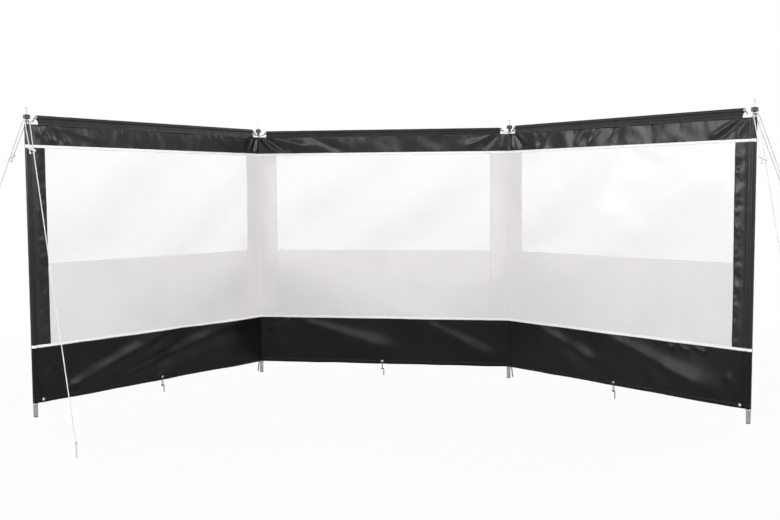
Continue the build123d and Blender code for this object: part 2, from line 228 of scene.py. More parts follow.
@dataclass(frozen=True)
class CoatedCloth(Finish):
    """Plain-woven polyester with a coating: a fine weave under a soft sheen, and small creases."""

    # Real threads lie 0.3 mm apart. They are drawn coarser, so that the weave still shows.
    thread: float = 1.1 * MM
    weave_depth: float = 0.12 * MM
    crease_size: float = 70 * MM
    crease_depth: float = 1.0 * MM
    faded: str = "#3a3b3e"
    patchiness: float = 0.5
    gloss: float = 0.22

    def dress(self, tree: bpy.types.NodeTree, shader: bpy.types.Node) -> None:
        """Adds the weave, the creases and the uneven coating."""
        place = self.surface_place(tree)
        scale = wave_scale(self.thread)
        warp = add(
            tree,
            "ShaderNodeTexWave",
            {"Vector": place, "Scale": scale, "Distortion": 0.6, "Detail": 1.0},
            bands_direction="X",
        )
        weft = add(
            tree,
            "ShaderNodeTexWave",
            {"Vector": place, "Scale": scale, "Distortion": 0.6, "Detail": 1.0},
            bands_direction="Y",
        )
        weave = add(tree, "ShaderNodeMath", {0: warp.outputs["Fac"], 1: weft.outputs["Fac"]}, operation="ADD")
        creases = add(
            tree,
            "ShaderNodeTexNoise",
            {
                "Vector": place,
                "Scale": 1 / self.crease_size,
                "Detail": 5.0,
                "Roughness": 0.46,
                "Distortion": 0.8,
            },
        )
        folded = add(
            tree,
            "ShaderNodeBump",
            {"Height": creases.outputs["Fac"], "Distance": self.crease_depth, "Strength": 0.8},
        )
        woven = add(
            tree,
            "ShaderNodeBump",
            {
                "Height": weave.outputs[0],
                "Distance": self.weave_depth,
                "Strength": 0.5,
                "Normal": folded.outputs["Normal"],
            },
        )
        tree.links.new(woven.outputs["Normal"], shader.inputs["Normal"])
        patches = add(
            tree,
            "ShaderNodeTexNoise",
            {"Vector": place, "Scale": 3.2, "Detail": 4.0, "Roughness": 0.6},
        )
        worn = spread(tree, patches.outputs["Fac"], 0.35, 0.75, 0.0, self.patchiness)
        tree.links.new(self.tint(tree, worn, self.faded), shader.inputs["Base Color"])
        rough = spread(tree, patches.outputs["Fac"], 0.3, 0.7, self.roughness - 0.05, self.roughness + 0.06)
        tree.links.new(rough, shader.inputs["Roughness"])
        shader.inputs["Specular IOR Level"].default_value = self.gloss


@dataclass(frozen=True)
class ClearFilm(Finish):
    """Clear pressed vinyl film: nearly unseen, with a faint haze whose slanting bands are painted
    reflections.
    """

    clearest: float = 0.04
    cloudiest: float = 0.16
    # More haze along the film's lower half: it is darker towards the bottom.
    lower_haze_full_at: float = 0.85
    lower_haze_gone_at: float = 1.2
    lower_haze: float = 0.12
    reflection_band_spacing: float = 0.42
    reflection_band_lean: float = 56.0

    def dress(self, tree: bpy.types.NodeTree, shader: bpy.types.Node) -> None:
        """Adds the haze with its slanting bands of painted reflection, the storage marks and the film's own
        gloss.
        """
        place = self.surface_place(tree)
        leaning = add(
            tree,
            "ShaderNodeMapping",
            {"Vector": place, "Rotation": (0.0, 0.0, math.radians(self.reflection_band_lean))},
        )
        # Slanting bands of denser haze: painted reflections on the film.
        bands = add(
            tree,
            "ShaderNodeTexWave",
            {
                "Vector": leaning.outputs["Vector"],
                "Scale": wave_scale(self.reflection_band_spacing),
                "Distortion": 5.0,
                "Detail": 2.0,
                "Detail Scale": 0.6,
            },
            bands_direction="X",
        )
        clouds = add(
            tree,
            "ShaderNodeTexNoise",
            {"Vector": place, "Scale": 2.6, "Detail": 3.0, "Roughness": 0.5},
        )
        both = add(
            tree,
            "ShaderNodeMath",
            {0: bands.outputs["Fac"], 1: clouds.outputs["Fac"]},
            operation="MULTIPLY",
        )
        haze_and_painted_reflections = spread(tree, both.outputs[0], 0.1, 0.65, self.clearest, self.cloudiest)
        # Extra haze that grows towards the film's lower edge, darkening it towards the bottom.
        level = add(tree, "ShaderNodeSeparateXYZ", {"Vector": place}).outputs["Y"]
        rubbed = spread(tree, level, self.lower_haze_full_at, self.lower_haze_gone_at, self.lower_haze, 0.0)
        alpha = add(tree, "ShaderNodeMath", {0: haze_and_painted_reflections, 1: rubbed}, operation="ADD")
        tree.links.new(alpha.outputs[0], shader.inputs["Alpha"])
        marks = add(
            tree,
            "ShaderNodeTexNoise",
            {"Vector": place, "Scale": 9.0, "Detail": 2.0, "Distortion": 0.8},
        )
        pressed = add(
            tree,
            "ShaderNodeBump",
            {"Height": marks.outputs["Fac"], "Distance": 0.6 * MM, "Strength": 0.6},
        )
        tree.links.new(pressed.outputs["Normal"], shader.inputs["Normal"])
        shader.inputs["IOR"].default_value = 1.53


@dataclass(frozen=True)
class Metal(Finish):
    """Steel or brass with a zinc or nickel coat that catches the light unevenly."""

    grain: float = 7 * MM
    other: str = "#b9bcc0"
    scratches: float = 0.12
    uneven: float = 0.09

    def dress(self, tree: bpy.types.NodeTree, shader: bpy.types.Node) -> None:
        """Adds the coat's crystals and fine scratches that run up and down."""
        place = self.solid_place(tree)
        crystals = add(tree, "ShaderNodeTexVoronoi", {"Vector": place, "Scale": 1 / self.grain})
        shade = add(tree, "ShaderNodeSeparateColor", {"Color": crystals.outputs["Color"]})
        tree.links.new(self.tint(tree, shade.outputs["Red"], self.other), shader.inputs["Base Color"])
        rough = spread(
            tree, shade.outputs["Green"], 0.0, 1.0, self.roughness - self.uneven, self.roughness + self.uneven
        )
        tree.links.new(rough, shader.inputs["Roughness"])
        drawn = add(tree, "ShaderNodeMapping", {"Vector": place, "Scale": (1.0, 1.0, 0.04)})
        lines = add(
            tree,
            "ShaderNodeTexNoise",
            {"Vector": drawn.outputs["Vector"], "Scale": 900.0, "Detail": 2.0},
        )
        scratched = add(
            tree,
            "ShaderNodeBump",
            {"Height": lines.outputs["Fac"], "Distance": 0.1 * MM, "Strength": self.scratches},
        )
        tree.links.new(scratched.outputs["Normal"], shader.inputs["Normal"])
        shader.inputs["Metallic"].default_value = 1.0


@dataclass(frozen=True)
class MouldedPlastic(Finish):
    """Moulded plastic, rubber or lacquer: a fine grain, and patches rubbed a little shinier."""

    grain: float = 0.9 * MM
    grain_depth: float = 0.12 * MM
    rubbed: str = "#3b3b3d"

    def dress(self, tree: bpy.types.NodeTree, shader: bpy.types.Node) -> None:
        """Adds the grain and the rubbed patches."""
        place = self.solid_place(tree)
        grain = add(tree, "ShaderNodeTexNoise", {"Vector": place, "Scale": 1 / self.grain, "Detail": 2.0})
        grained = add(
            tree,
            "ShaderNodeBump",
            {"Height": grain.outputs["Fac"], "Distance": self.grain_depth, "Strength": 0.4},
        )
        tree.links.new(grained.outputs["Normal"], shader.inputs["Normal"])
        patches = add(tree, "ShaderNodeTexNoise", {"Vector": place, "Scale": 60.0, "Detail": 3.0})
        worn = spread(tree, patches.outputs["Fac"], 0.4, 0.8, 0.0, 0.5)
        tree.links.new(self.tint(tree, worn, self.rubbed), shader.inputs["Base Color"])
        rough = spread(tree, patches.outputs["Fac"], 0.3, 0.7, self.roughness + 0.06, self.roughness - 0.06)
        tree.links.new(rough, shader.inputs["Roughness"])


@dataclass(frozen=True)
class LaidRope(Finish):
    """Twisted polypropylene rope: glossy fibres that run along each strand, a little soiled."""

    # Real fibres are much finer. They are drawn coarser, so that they still show.
    fibre: float = 0.7 * MM
    soiled: str = "#cfcdc8"

    def dress(self, tree: bpy.types.NodeTree, shader: bpy.types.Node) -> None:
        """Adds the fibres, which lean across the strand, and the soiling."""
        place = self.surface_place(tree)
        leaning = add(
            tree, "ShaderNodeMapping", {"Vector": place, "Rotation": (0.0, 0.0, math.radians(18.0))}
        )
        fibres = add(
            tree,
            "ShaderNodeTexWave",
            {"Vector": leaning.outputs["Vector"], "Scale": wave_scale(self.fibre), "Distortion": 1.5},
            bands_direction="X",
        )
        ridged = add(
            tree,
            "ShaderNodeBump",
            {"Height": fibres.outputs["Fac"], "Distance": 0.2 * MM, "Strength": 0.5},
        )
        tree.links.new(ridged.outputs["Normal"], shader.inputs["Normal"])
        patches = add(
            tree, "ShaderNodeTexNoise", {"Vector": self.solid_place(tree), "Scale": 14.0, "Detail": 4.0}
        )
        dirty = spread(tree, patches.outputs["Fac"], 0.45, 0.8, 0.0, 0.7)
        tree.links.new(self.tint(tree, dirty, self.soiled), shader.inputs["Base Color"])


@dataclass(frozen=True)
class Webbing(Finish):
    """Flat woven webbing: ribs across the band, with painted shade in the grooves between them."""

    rib: float = 1.6 * MM
    # Colour of the painted shade in the grooves between the ribs.
    groove: str = "#8f9092"

    def dress(self, tree: bpy.types.NodeTree, shader: bpy.types.Node) -> None:
        """Adds the ribs, as relief and as painted shade in the grooves."""
        place = self.surface_place(tree)
        ribs = add(
            tree,
            "ShaderNodeTexWave",
            {"Vector": place, "Scale": wave_scale(self.rib), "Distortion": 0.8, "Detail": 1.0},
            bands_direction="X",
        )
        raised = add(
            tree,
            "ShaderNodeBump",
            {"Height": ribs.outputs["Fac"], "Distance": 0.3 * MM, "Strength": 0.7},
        )
        tree.links.new(raised.outputs["Normal"], shader.inputs["Normal"])
        painted_groove_shade = spread(tree, ribs.outputs["Fac"], 0.0, 0.5, 0.6, 0.0)
        tree.links.new(self.tint(tree, painted_groove_shade, self.groove), shader.inputs["Base Color"])


@dataclass(frozen=True)
class Finishes:
    """Every finish on the windbreak."""

    # Polyester oxford, woven and coated: near black, with a bright sheen along its folds.
    top_cloth: Finish = CoatedCloth(
        "black_coated_oxford",
        Slot.BLACK_CLOTH,
        "#131416",
        0.28,
        weave_depth=0.05 * MM,
        crease_depth=1.2 * MM,
        faded="#1c1d1f",
        gloss=0.27,
    )
    # The same cloth folded over the rails: a shade greyer, with a duller and wider sheen, kept as its own
    # copy so that the sleeves look darker than the band: painted shade.
    shaded_sleeve_cloth: Finish = CoatedCloth(
        "black_sleeve_oxford_painted_shade", Slot.BLACK_CLOTH, "#18191b", 0.48, faded="#202123"
    )
    # The same cloth, the blackest and with a fainter sheen than the top band: painted shade, so that the band
    # along the ground looks darker.
    shaded_skirt_cloth: Finish = CoatedCloth(
        "black_skirt_cloth_painted_shade",
        Slot.BLACK_CLOTH,
        "#08090a",
        0.34,
        weave_depth=0.04 * MM,
        crease_size=90 * MM,
        faded="#0f1011",
        gloss=0.15,
    )
    # Light grey polyester: matt, even, with a little shade in its creases.
    light_cloth: Finish = CoatedCloth(
        "light_grey_polyester",
        Slot.LIGHT_CLOTH,
        "#dedbdc",
        0.72,
        crease_depth=0.7 * MM,
        faded="#d3d0d1",
    )
    # Folded white coated tape, a little shinier than the cloth.
    piping_tape: Finish = CoatedCloth(
        "white_piping_tape", Slot.WHITE_PIPING, "#f4f4f3", 0.55, crease_depth=0.3 * MM, faded="#e6e6e5"
    )
    # Clear pressed vinyl film: nearly unseen, with a faint grey haze and slanting bands of painted
    # reflection.
    window_film: Finish = ClearFilm("clear_vinyl_film", Slot.CLEAR_FILM, "#d9d9da", 0.12)
    # Hot-dip galvanised tube: flat grey zinc crystals.
    pole_zinc: Finish = Metal("galvanised_steel_tube", Slot.GALVANISED_TUBE, "#85888c", 0.4, other="#9a9da1")
    # Zinc plating on the rails and spikes: mid grey with a satin shine and hardly any grain.
    rail_zinc: Finish = Metal(
        "bright_zinc_plated_steel",
        Slot.BRIGHT_STEEL,
        "#787a7e",
        0.3,
        grain=3 * MM,
        other="#9c9ea2",
        uneven=0.07,
    )
    # Zinc plated round bar: pale grey, dulled by use.
    peg_zinc: Finish = Metal(
        "zinc_plated_peg_steel", Slot.ZINC_PEGS, "#b9bbbe", 0.46, grain=4 * MM, other="#cbcdd0"
    )
    # Black lacquered steel bar: thin dark strokes with a soft shine.
    peg_lacquer: Finish = MouldedPlastic("black_lacquered_peg_steel", Slot.DARK_PEGS, "#26272a", 0.35)
    # Nickel-plated brass: small warm grey rings.
    eyelet_nickel: Finish = Metal(
        "nickel_plated_brass",
        Slot.NICKEL_EYELETS,
        "#6c6964",
        0.36,
        grain=2 * MM,
        other="#817e78",
        uneven=0.05,
    )
    # Moulded black nylon: a dull black cap on each pole.
    knob_nylon: Finish = MouldedPlastic("black_moulded_nylon", Slot.BLACK_PLASTIC, "#18181a", 0.42)
    # Moulded white nylon: a little whiter and shinier than the rope that it holds.
    slider_nylon: Finish = MouldedPlastic(
        "white_moulded_nylon", Slot.WHITE_PLASTIC, "#e9e8e4", 0.4, rubbed="#d9d7d2"
    )
    # Natural rubber with a dusty bloom.
    loop_rubber: Finish = MouldedPlastic(
        "black_rubber", Slot.BLACK_RUBBER, "#1a1a1b", 0.62, grain=1.5 * MM, rubbed="#3a3a3b"
    )
    # Laid polypropylene rope: off-white, with light along each strand.
    guy_rope: Finish = LaidRope("white_laid_polypropylene", Slot.WHITE_ROPE, "#d5d4d1", 0.5, soiled="#bfbdb8")
    # Woven polyester webbing: matt mid grey ribs.
    strap: Finish = Webbing("grey_woven_webbing", Slot.GREY_WEBBING, "#b9babc", 0.7)
    # Sewing threads, one to match each cloth.
    black_thread: Finish = LaidRope(
        "black_polyester_thread", Slot.BLACK_CLOTH, "#1e1f21", 0.5, fibre=0.3 * MM, soiled="#2b2c2e"
    )
    white_thread: Finish = LaidRope(
        "white_polyester_thread", Slot.WHITE_PIPING, "#efefed", 0.5, fibre=0.3 * MM, soiled="#dededc"
    )


class Workshop:
    """Makes each finish once and hands it out to the pieces."""

    def __init__(self) -> None:
        """Starts with no material made."""
        self.made: dict[str, bpy.types.Material] = {}

    def material(self, finish: Finish) -> bpy.types.Material:
        """The finish's material, made the first time that it is asked for."""
        if finish.name not in self.made:
            self.made[finish.name] = finish.build()
        return self.made[finish.name]

    def dress(self, piece: bpy.types.Object, finish: Finish, *nodes: str) -> bpy.types.Object:
        """Gives a new piece its finish and body, and hides the nodes that it stands for.

        Args:
            piece: The piece, in its place.
            finish: What it is made of.
            *nodes: The solids that the piece replaces.

        Returns:
            The piece.
        """
        piece.data.materials.clear()
        piece.data.materials.append(self.material(finish))
        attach(piece, BODY)
        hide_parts(*nodes)
        stood_for = ", ".join(nodes) or "none"
        LOG.info("%s: %d faces, in place of %s", piece.name, len(piece.data.polygons), stood_for)
        return piece


# Meshes


class MeshParts:
    """Collects grids and tubes, and joins them into one mesh with a UV map in metres."""

    def __init__(self) -> None:
        """Starts empty."""
        self.points: list[np.ndarray] = []
        self.places: list[np.ndarray] = []
        self.faces: list[tuple[int, ...]] = []
        self.count = 0

    def grid(
        self,
        points: np.ndarray,
        places: np.ndarray,
        closed: bool = False,
        holes: set[tuple[int, int]] | None = None,
    ) -> None:
        """Adds a grid of quads.

        Args:
            points: Rows by columns by three coordinates.
            places: Rows by columns by two UV coordinates.
            closed: Whether the last row joins the first.
            holes: Cells, as row and column, that are left out.
        """
        rows, columns = points.shape[:2]
        start = self.count
        self.points.append(points.reshape(-1, 3))
        self.places.append(places.reshape(-1, 2))
        self.count += rows * columns
        for row in range(rows if closed else rows - 1):
            upper = (row + 1) % rows
            for column in range(columns - 1):
                if holes and (row, column) in holes:
                    continue
                low = start + row * columns + column
                high = start + upper * columns + column
                self.faces.append((low, low + 1, high + 1, high))

    def tube(
        self,
        path: np.ndarray,
        radius: float,
        sides: int = 12,
        closed: bool = False,
        strands: int = 0,
        lay: float = 0.0,
    ) -> None:
        """Adds a round or a twisted tube along a path.

        Args:
            path: Points of the centre line.
            radius: The tube's outer radius.
            sides: Faces round the tube.
            closed: Whether the path is a ring.
            strands: How many strands show round the tube, or 0 for a smooth one.
            lay: The length in which a strand turns once round, in metres.
        """
        ahead = np.roll(path, -1, axis=0) - np.roll(path, 1, axis=0)
        if not closed:
            ahead[0] = path[1] - path[0]
            ahead[-1] = path[-1] - path[-2]
        ahead /= np.linalg.norm(ahead, axis=1)[:, None]
        side = np.cross(ahead[0], (0.0, 0.0, 1.0))
        if np.linalg.norm(side) < 0.1:
            side = np.cross(ahead[0], (0.0, 1.0, 0.0))
        steps = np.linalg.norm(np.diff(path, axis=0, append=path[:1]), axis=1)
        travelled = np.concatenate(([0.0], np.cumsum(steps)[:-1]))
        angles = np.linspace(0.0, 2 * math.pi, sides + 1)
        rings = []
        for place, way, distance in zip(path, ahead, travelled):
            side = side - way * np.dot(side, way)
            side /= np.linalg.norm(side)
            other = np.cross(way, side)
            twist = 2 * math.pi * distance / lay if lay else 0.0
            dip = STRAND_DIP * (1 - np.cos(strands * (angles - twist))) if strands else 0.0
            reach = radius * (1 - dip)
            rings.append(
                place + np.outer(np.cos(angles) * reach, side) + np.outer(np.sin(angles) * reach, other)
            )
        if closed:
            rings.append(rings[0])
            travelled = np.append(travelled, travelled[-1] + steps[-1])
        points = np.array(rings).transpose(1, 0, 2)
        around = angles * radius
        places = np.stack(np.meshgrid(travelled, around), axis=-1)
        self.grid(points[::-1], places[::-1])
        if not closed:
            self.cap(points[::-1, 0], reverse=False)
            self.cap(points[::-1, -1], reverse=True)

    def cap(self, ring: np.ndarray, reverse: bool) -> None:
        """Closes a tube's end with a flat face.

        Args:
            ring: Points round the end, the last on the first.
            reverse: Whether the face is turned over.
        """
        start = self.count
        corners = ring[:-1]
        self.points.append(corners)
        self.places.append(np.zeros((len(corners), 2)))
        self.count += len(corners)
        face = tuple(range(start, self.count))
        self.faces.append(face[::-1] if reverse else face)

    def build(self, name: str, wall: float = 0.0) -> bpy.types.Object:
        """Makes the object.

        Args:
            name: Its name.
            wall: Thickness of the cloth behind its face, or 0 for a solid.

        Returns:
            The object, at the origin, with smooth faces.
        """
        mesh = bpy.data.meshes.new(name)
        mesh.from_pydata(np.concatenate(self.points).tolist(), [], self.faces)
        places = np.concatenate(self.places)
        corners = np.empty(len(mesh.loops), dtype=np.int32)
        mesh.loops.foreach_get("vertex_index", corners)
        layer = mesh.uv_layers.new(name="UVMap")
        layer.data.foreach_set("uv", places[corners].astype(np.float32).ravel())
        mesh.polygons.foreach_set("use_smooth", [True] * len(mesh.polygons))
        mesh.update()
        piece = bpy.data.objects.new(name, mesh)
        bpy.context.scene.collection.objects.link(piece)
        if wall:
            solidify = piece.modifiers.new("wall", "SOLIDIFY")
            solidify.thickness = wall
            solidify.offset = -1.0
        return piece


def weld(piece: bpy.types.Object, distance: float = 0.01 * MM) -> None:
    """Joins the points of a piece that lie on each other, and turns its faces outwards.

    Args:
        piece: The piece, changed in place.
        distance: How close two points lie that become one.
    """
    shape = bmesh.new()
    shape.from_mesh(piece.data)
    bmesh.ops.remove_doubles(shape, verts=shape.verts, dist=distance)
    bmesh.ops.recalc_face_normals(shape, faces=shape.faces)
    shape.to_mesh(piece.data)
    shape.free()


def soft_line(points: Sequence[np.ndarray], rounds: int = 2) -> np.ndarray:
    """Rounds the corners of an open line by cutting them.

    Args:
        points: The line's corners.
        rounds: How many times every corner is cut.

    Returns:
        The points of the rounded line, with its own ends.
    """
    line = np.array(points, dtype=float)
    for _ in range(rounds):
        first = line[:-1] * 0.75 + line[1:] * 0.25
        second = line[:-1] * 0.25 + line[1:] * 0.75
        between = np.stack([first, second], axis=1).reshape(-1, line.shape[1])
        line = np.concatenate([line[:1], between, line[-1:]])
    return line


def spline(points: Sequence[Vector], step: float) -> np.ndarray:
    """A smooth line that follows control points, read at even steps.

    Args:
        points: The control points.
        step: Distance between the points of the result.

    Returns:
        The points of the line.
    """
    data = bpy.data.curves.new("route", "CURVE")
    data.dimensions = "3D"
    data.resolution_u = 24
    route = data.splines.new("NURBS")
    route.points.add(len(points) - 1)
    for control, point in zip(route.points, points):
        control.co = (*point, 1.0)
    route.order_u = min(3, len(points))
    route.use_endpoint_u = True
    carrier = bpy.data.objects.new("route", data)
    bpy.context.scene.collection.objects.link(carrier)
    graph = bpy.context.evaluated_depsgraph_get()
    drawn = bpy.data.meshes.new_from_object(carrier.evaluated_get(graph))
    line = np.array([vertex.co[:] for vertex in drawn.vertices])
    bpy.data.objects.remove(carrier)
    bpy.data.curves.remove(data)
    bpy.data.meshes.remove(drawn)
    lengths = np.concatenate(([0.0], np.cumsum(np.linalg.norm(np.diff(line, axis=0), axis=1))))
    stops = np.linspace(0.0, lengths[-1], max(2, round(lengths[-1] / step) + 1))
    return np.stack([np.interp(stops, lengths, line[:, axis]) for axis in range(3)], axis=1)


def heading_vector(angle: float) -> Vector:
    """A level unit vector, at an angle in degrees from +X towards +Y."""
    return Vector((math.cos(math.radians(angle)), math.sin(math.radians(angle)), 0.0))


def ease(value: np.ndarray, low: float, high: float) -> np.ndarray:
    """Rises smoothly from 0 at low to 1 at high."""
    share = np.clip((value - low) / (high - low), 0.0, 1.0)
    return share * share * (3 - 2 * share)


# The row


@dataclass(frozen=True)
class Row:
    """The cloth's line in plan, from free edge to free edge, in front of the poles."""

    poles: tuple[Vector, ...]
    pole_radius: float
    cloth_depth: float = 12.0 * MM
    edge_reach: float = 12.6 * MM
    fold_radius: float = 6.0 * MM
    groove_depth: float = 5.0 * MM
    groove_place: float = 12.0 * MM
    groove_width: float = 14.0 * MM

    @classmethod
    def from_frame(cls) -> Row:
        """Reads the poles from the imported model."""
        boxes = [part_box(f"pole_{number}") for number in range(1, 5)]
        centres = tuple(((low + high) / 2).to_2d() for low, high in boxes)
        low, high = boxes[1]
        return cls(centres, (high.x - low.x) / 2)

    @cached_property
    def headings(self) -> list[Vector]:
        """The bays' directions, from left to right."""
        return [(after - before).normalized() for before, after in zip(self.poles, self.poles[1:])]

    @cached_property
    def fronts(self) -> list[Vector]:
        """The directions in which the bays face."""
        return [Vector((heading.y, -heading.x)) for heading in self.headings]

    @cached_property
    def table(self) -> np.ndarray:
        """Rows of distance, x, y and the two parts of the forward direction, along the cloth."""
        first, last = self.poles[0], self.poles[-1]
        start = first - self.headings[0] * self.edge_reach + self.fronts[0] * self.cloth_depth
        rows = [(*start, *self.fronts[0])]
        for pole, before, after in zip(self.poles[1:-1], range(2), range(1, 3)):
            turn = self.fronts[before].angle(self.fronts[after])
            middle = (self.fronts[before] + self.fronts[after]).normalized()
            corner = pole + middle * (self.cloth_depth / math.cos(turn / 2))
            tangent = corner - self.headings[before] * (self.fold_radius * math.tan(turn / 2))
            centre = tangent + self.fronts[before] * self.fold_radius
            for share in np.linspace(0.0, 1.0, 9):
                way = self.fronts[before].slerp(self.fronts[after], float(share))
                rows.append((*(centre - way * self.fold_radius), *way))
        end = last + self.headings[2] * self.edge_reach + self.fronts[2] * self.cloth_depth
        rows.append((*end, *self.fronts[2]))
        line = np.array(rows)
        steps = np.linalg.norm(np.diff(line[:, :2], axis=0), axis=1)
        return np.column_stack([np.concatenate(([0.0], np.cumsum(steps))), line])

    @cached_property
    def length(self) -> float:
        """The cloth's whole length."""
        return float(self.table[-1, 0])

    @cached_property
    def stops(self) -> list[float]:
        """How far along the cloth each pole is."""
        # The table has nine rows round each inner pole. These two are the middle ones.
        inner = [float(self.table[row, 0]) for row in (5, 14)]
        return [self.edge_reach, *inner, self.length - self.edge_reach]

    def at(self, along: np.ndarray, height: np.ndarray, out: np.ndarray) -> np.ndarray:
        """Places on or near the cloth.

        Args:
            along: Distances along the cloth.
            height: Heights above the ground.
            out: Distances in front of the cloth's own line.

        Returns:
            Points, with three coordinates in the last axis.
        """
        x, y, way_x, way_y = (np.interp(along, self.table[:, 0], self.table[:, part]) for part in range(1, 5))
        return np.stack([x + way_x * out, y + way_y * out, height + 0 * along], axis=-1)

    def wrap(self, along: np.ndarray) -> np.ndarray:
        """How far the cloth falls back where it wraps the end poles and is stitched beside them.

        Args:
            along: Distances along the cloth.

        Returns:
            Offsets in metres, close to 0 away from the end poles.
        """
        out = np.zeros_like(along)
        for stop, inward in ((self.stops[0], 1), (self.stops[3], -1)):
            beside = (along - stop) * inward
            near = np.clip(np.abs(beside), 0.0, self.edge_reach * 0.999)
            round_pole = np.sqrt(self.edge_reach**2 - near**2)
            groove = self.cloth_depth - self.groove_depth * np.exp(
                -(((beside - self.groove_place) / self.groove_width) ** 2)
            )
            depth = np.where(beside < 0, round_pole, np.maximum(round_pole, groove))
            out = np.where(beside < 0.3, depth - self.cloth_depth, out)
        return out


@dataclass(frozen=True)
class Levels:
    """Heights of the cloth's seams above the ground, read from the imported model."""

    bottom: float
    lower_piping: float
    light_band: float
    window: float
    upper_piping: float
    top_band: float
    top: float

    @classmethod
    def from_frame(cls) -> Levels:
        """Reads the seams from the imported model's own strips."""
        return cls(
            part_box("bottom_band_middle")[0].z,
            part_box("lower_piping_middle")[0].z,
            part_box("light_band_middle")[0].z,
            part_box("window_middle")[0].z,
            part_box("upper_piping_middle")[0].z,
            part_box("top_band_middle")[0].z,
            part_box("top_band_middle")[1].z,
        )


@dataclass(frozen=True)
class Ripples:
    """A seeded field of waves in the cloth, with one main direction."""

    seed: int
    count: int
    shortest: float
    longest: float
    lean: float
    scatter: float
    height: float

    def at(self, along: np.ndarray, up: np.ndarray) -> np.ndarray:
        """How far the waves push the cloth out.

        Args:
            along: Distances along the cloth.
            up: Heights above the ground.

        Returns:
            Offsets in metres, about as high as the field's own height.
        """
        draw = np.random.default_rng(self.seed)
        lengths = np.exp(draw.uniform(math.log(self.shortest), math.log(self.longest), self.count))
        angles = np.radians(self.lean + draw.normal(0.0, self.scatter, self.count))
        phases = draw.uniform(0.0, 2 * math.pi, self.count)
        shares = lengths / np.linalg.norm(lengths) * math.sqrt(2)
        total = np.zeros(np.broadcast(along, up).shape)
        for length, angle, phase, share in zip(lengths, angles, phases, shares):
            run = along * math.cos(angle) + up * math.sin(angle)
            total += share * np.cos(2 * math.pi / length * run + phase)
        return total * self.height


@dataclass(frozen=True)
class Crease:
    """One pulled fold: a soft ridge that widens and fades from its start, beside one pole."""

    pole: int
    start: tuple[float, float]
    end: tuple[float, float]
    width: float
    height: float
    # How much wider the side on the right of its run is, where a fold falls off slowly.
    soft_side: float = 1.0

    def at(self, row: Row, along: np.ndarray, up: np.ndarray) -> np.ndarray:
        """How far the fold stands out of the cloth.

        Args:
            row: The row, which says where the pole is.
            along: Distances along the cloth.
            up: Heights above the ground.

        Returns:
            Offsets in metres.
        """
        x = along - row.stops[self.pole] - self.start[0] * MM
        z = up - self.start[1] * MM
        run = np.array([self.end[0] - self.start[0], self.end[1] - self.start[1]]) * MM
        length = float(np.hypot(*run))
        share = (x * run[0] + z * run[1]) / length**2
        away = (x * run[1] - z * run[0]) / length
        growth = 0.6 + 0.8 * np.clip(share, 0.0, 1.0)
        width = self.width * MM * growth * np.where(away > 0, self.soft_side, 1.0)
        fade = ease(share, -0.02, 0.16) * (1 - ease(share, 0.72, 1.04))
        return self.height * MM * growth * np.exp(-((away / width) ** 2)) * fade


# Folds that the rails, the poles and the guys pull into the cloth. Each has its pole, counted
# from 0, then its start and end in millimetres along from that pole and above the ground, and
# its width and height. A negative height is a valley.
TOP_FOLDS = (
    Crease(0, (40, 1420), (72, 1328), 12, 4.0),
    Crease(0, (80, 1422), (132, 1330), 15, 4.5),
    Crease(0, (118, 1422), (176, 1330), 11, -2.5),
    Crease(0, (140, 1420), (222, 1330), 17, 4.5),
    Crease(0, (110, 1424), (430, 1356), 17, 3.5),
    Crease(1, (-8, 1420), (-26, 1328), 9, 5.0),
    Crease(1, (-26, 1420), (-52, 1330), 8, -4.0),
    Crease(1, (-38, 1422), (-84, 1330), 12, 5.0),
    Crease(1, (10, 1420), (108, 1328), 11, 8.5),
    Crease(1, (34, 1422), (168, 1332), 12, -9.0),
    Crease(1, (58, 1424), (330, 1356), 20, 9.5),
    Crease(1, (300, 1424), (520, 1332), 18, -3.5),
    Crease(2, (-30, 1420), (-37, 1330), 8, 5.5),
    Crease(2, (-60, 1422), (-150, 1332), 12, -4.5),
    Crease(2, (-80, 1424), (-260, 1350), 14, 4.0),
    Crease(2, (8, 1420), (14, 1330), 7, -4.0),
    Crease(2, (24, 1420), (32, 1330), 8, 6.0),
    Crease(2, (46, 1422), (120, 1332), 13, -4.5),
    Crease(2, (300, 1424), (215, 1332), 16, -4.0),
    Crease(2, (560, 1424), (468, 1330), 12, 4.5),
    Crease(2, (650, 1424), (560, 1330), 12, 4.5),
    Crease(2, (770, 1424), (700, 1334), 14, 4.0),
    Crease(3, (-20, 1422), (-84, 1330), 14, 5.0),
    Crease(3, (-38, 1424), (-172, 1328), 12, -5.5),
    Crease(3, (-62, 1426), (-218, 1334), 12, 5.0),
)
SKIRT_FOLDS = (
    Crease(0, (110, 95), (890, 360), 40, 16.0, soft_side=1.4),
    Crease(0, (420, 105), (1480, 372), 40, 17.0, soft_side=1.4),
    Crease(0, (16, 95), (90, 250), 18, 4.5),
    Crease(1, (190, 338), (48, 250), 12, 7.0),
    Crease(1, (210, 328), (880, 128), 44, 17.0, soft_side=1.6),
    Crease(1, (985, 332), (1470, 84), 36, 14.0, soft_side=1.8),
    Crease(1, (14, 92), (170, 200), 18, 3.5),
    Crease(2, (190, 340), (690, 150), 38, 12.0, soft_side=1.5),
    Crease(2, (680, 342), (1370, 96), 46, 15.0, soft_side=1.5),
    Crease(2, (1050, 336), (1108, 306), 9, 4.0),
    Crease(2, (1130, 334), (1188, 300), 8, 4.0),
    Crease(2, (1205, 332), (1290, 304), 10, 4.0),
    Crease(3, (-14, 92), (-120, 230), 18, 4.0),
)


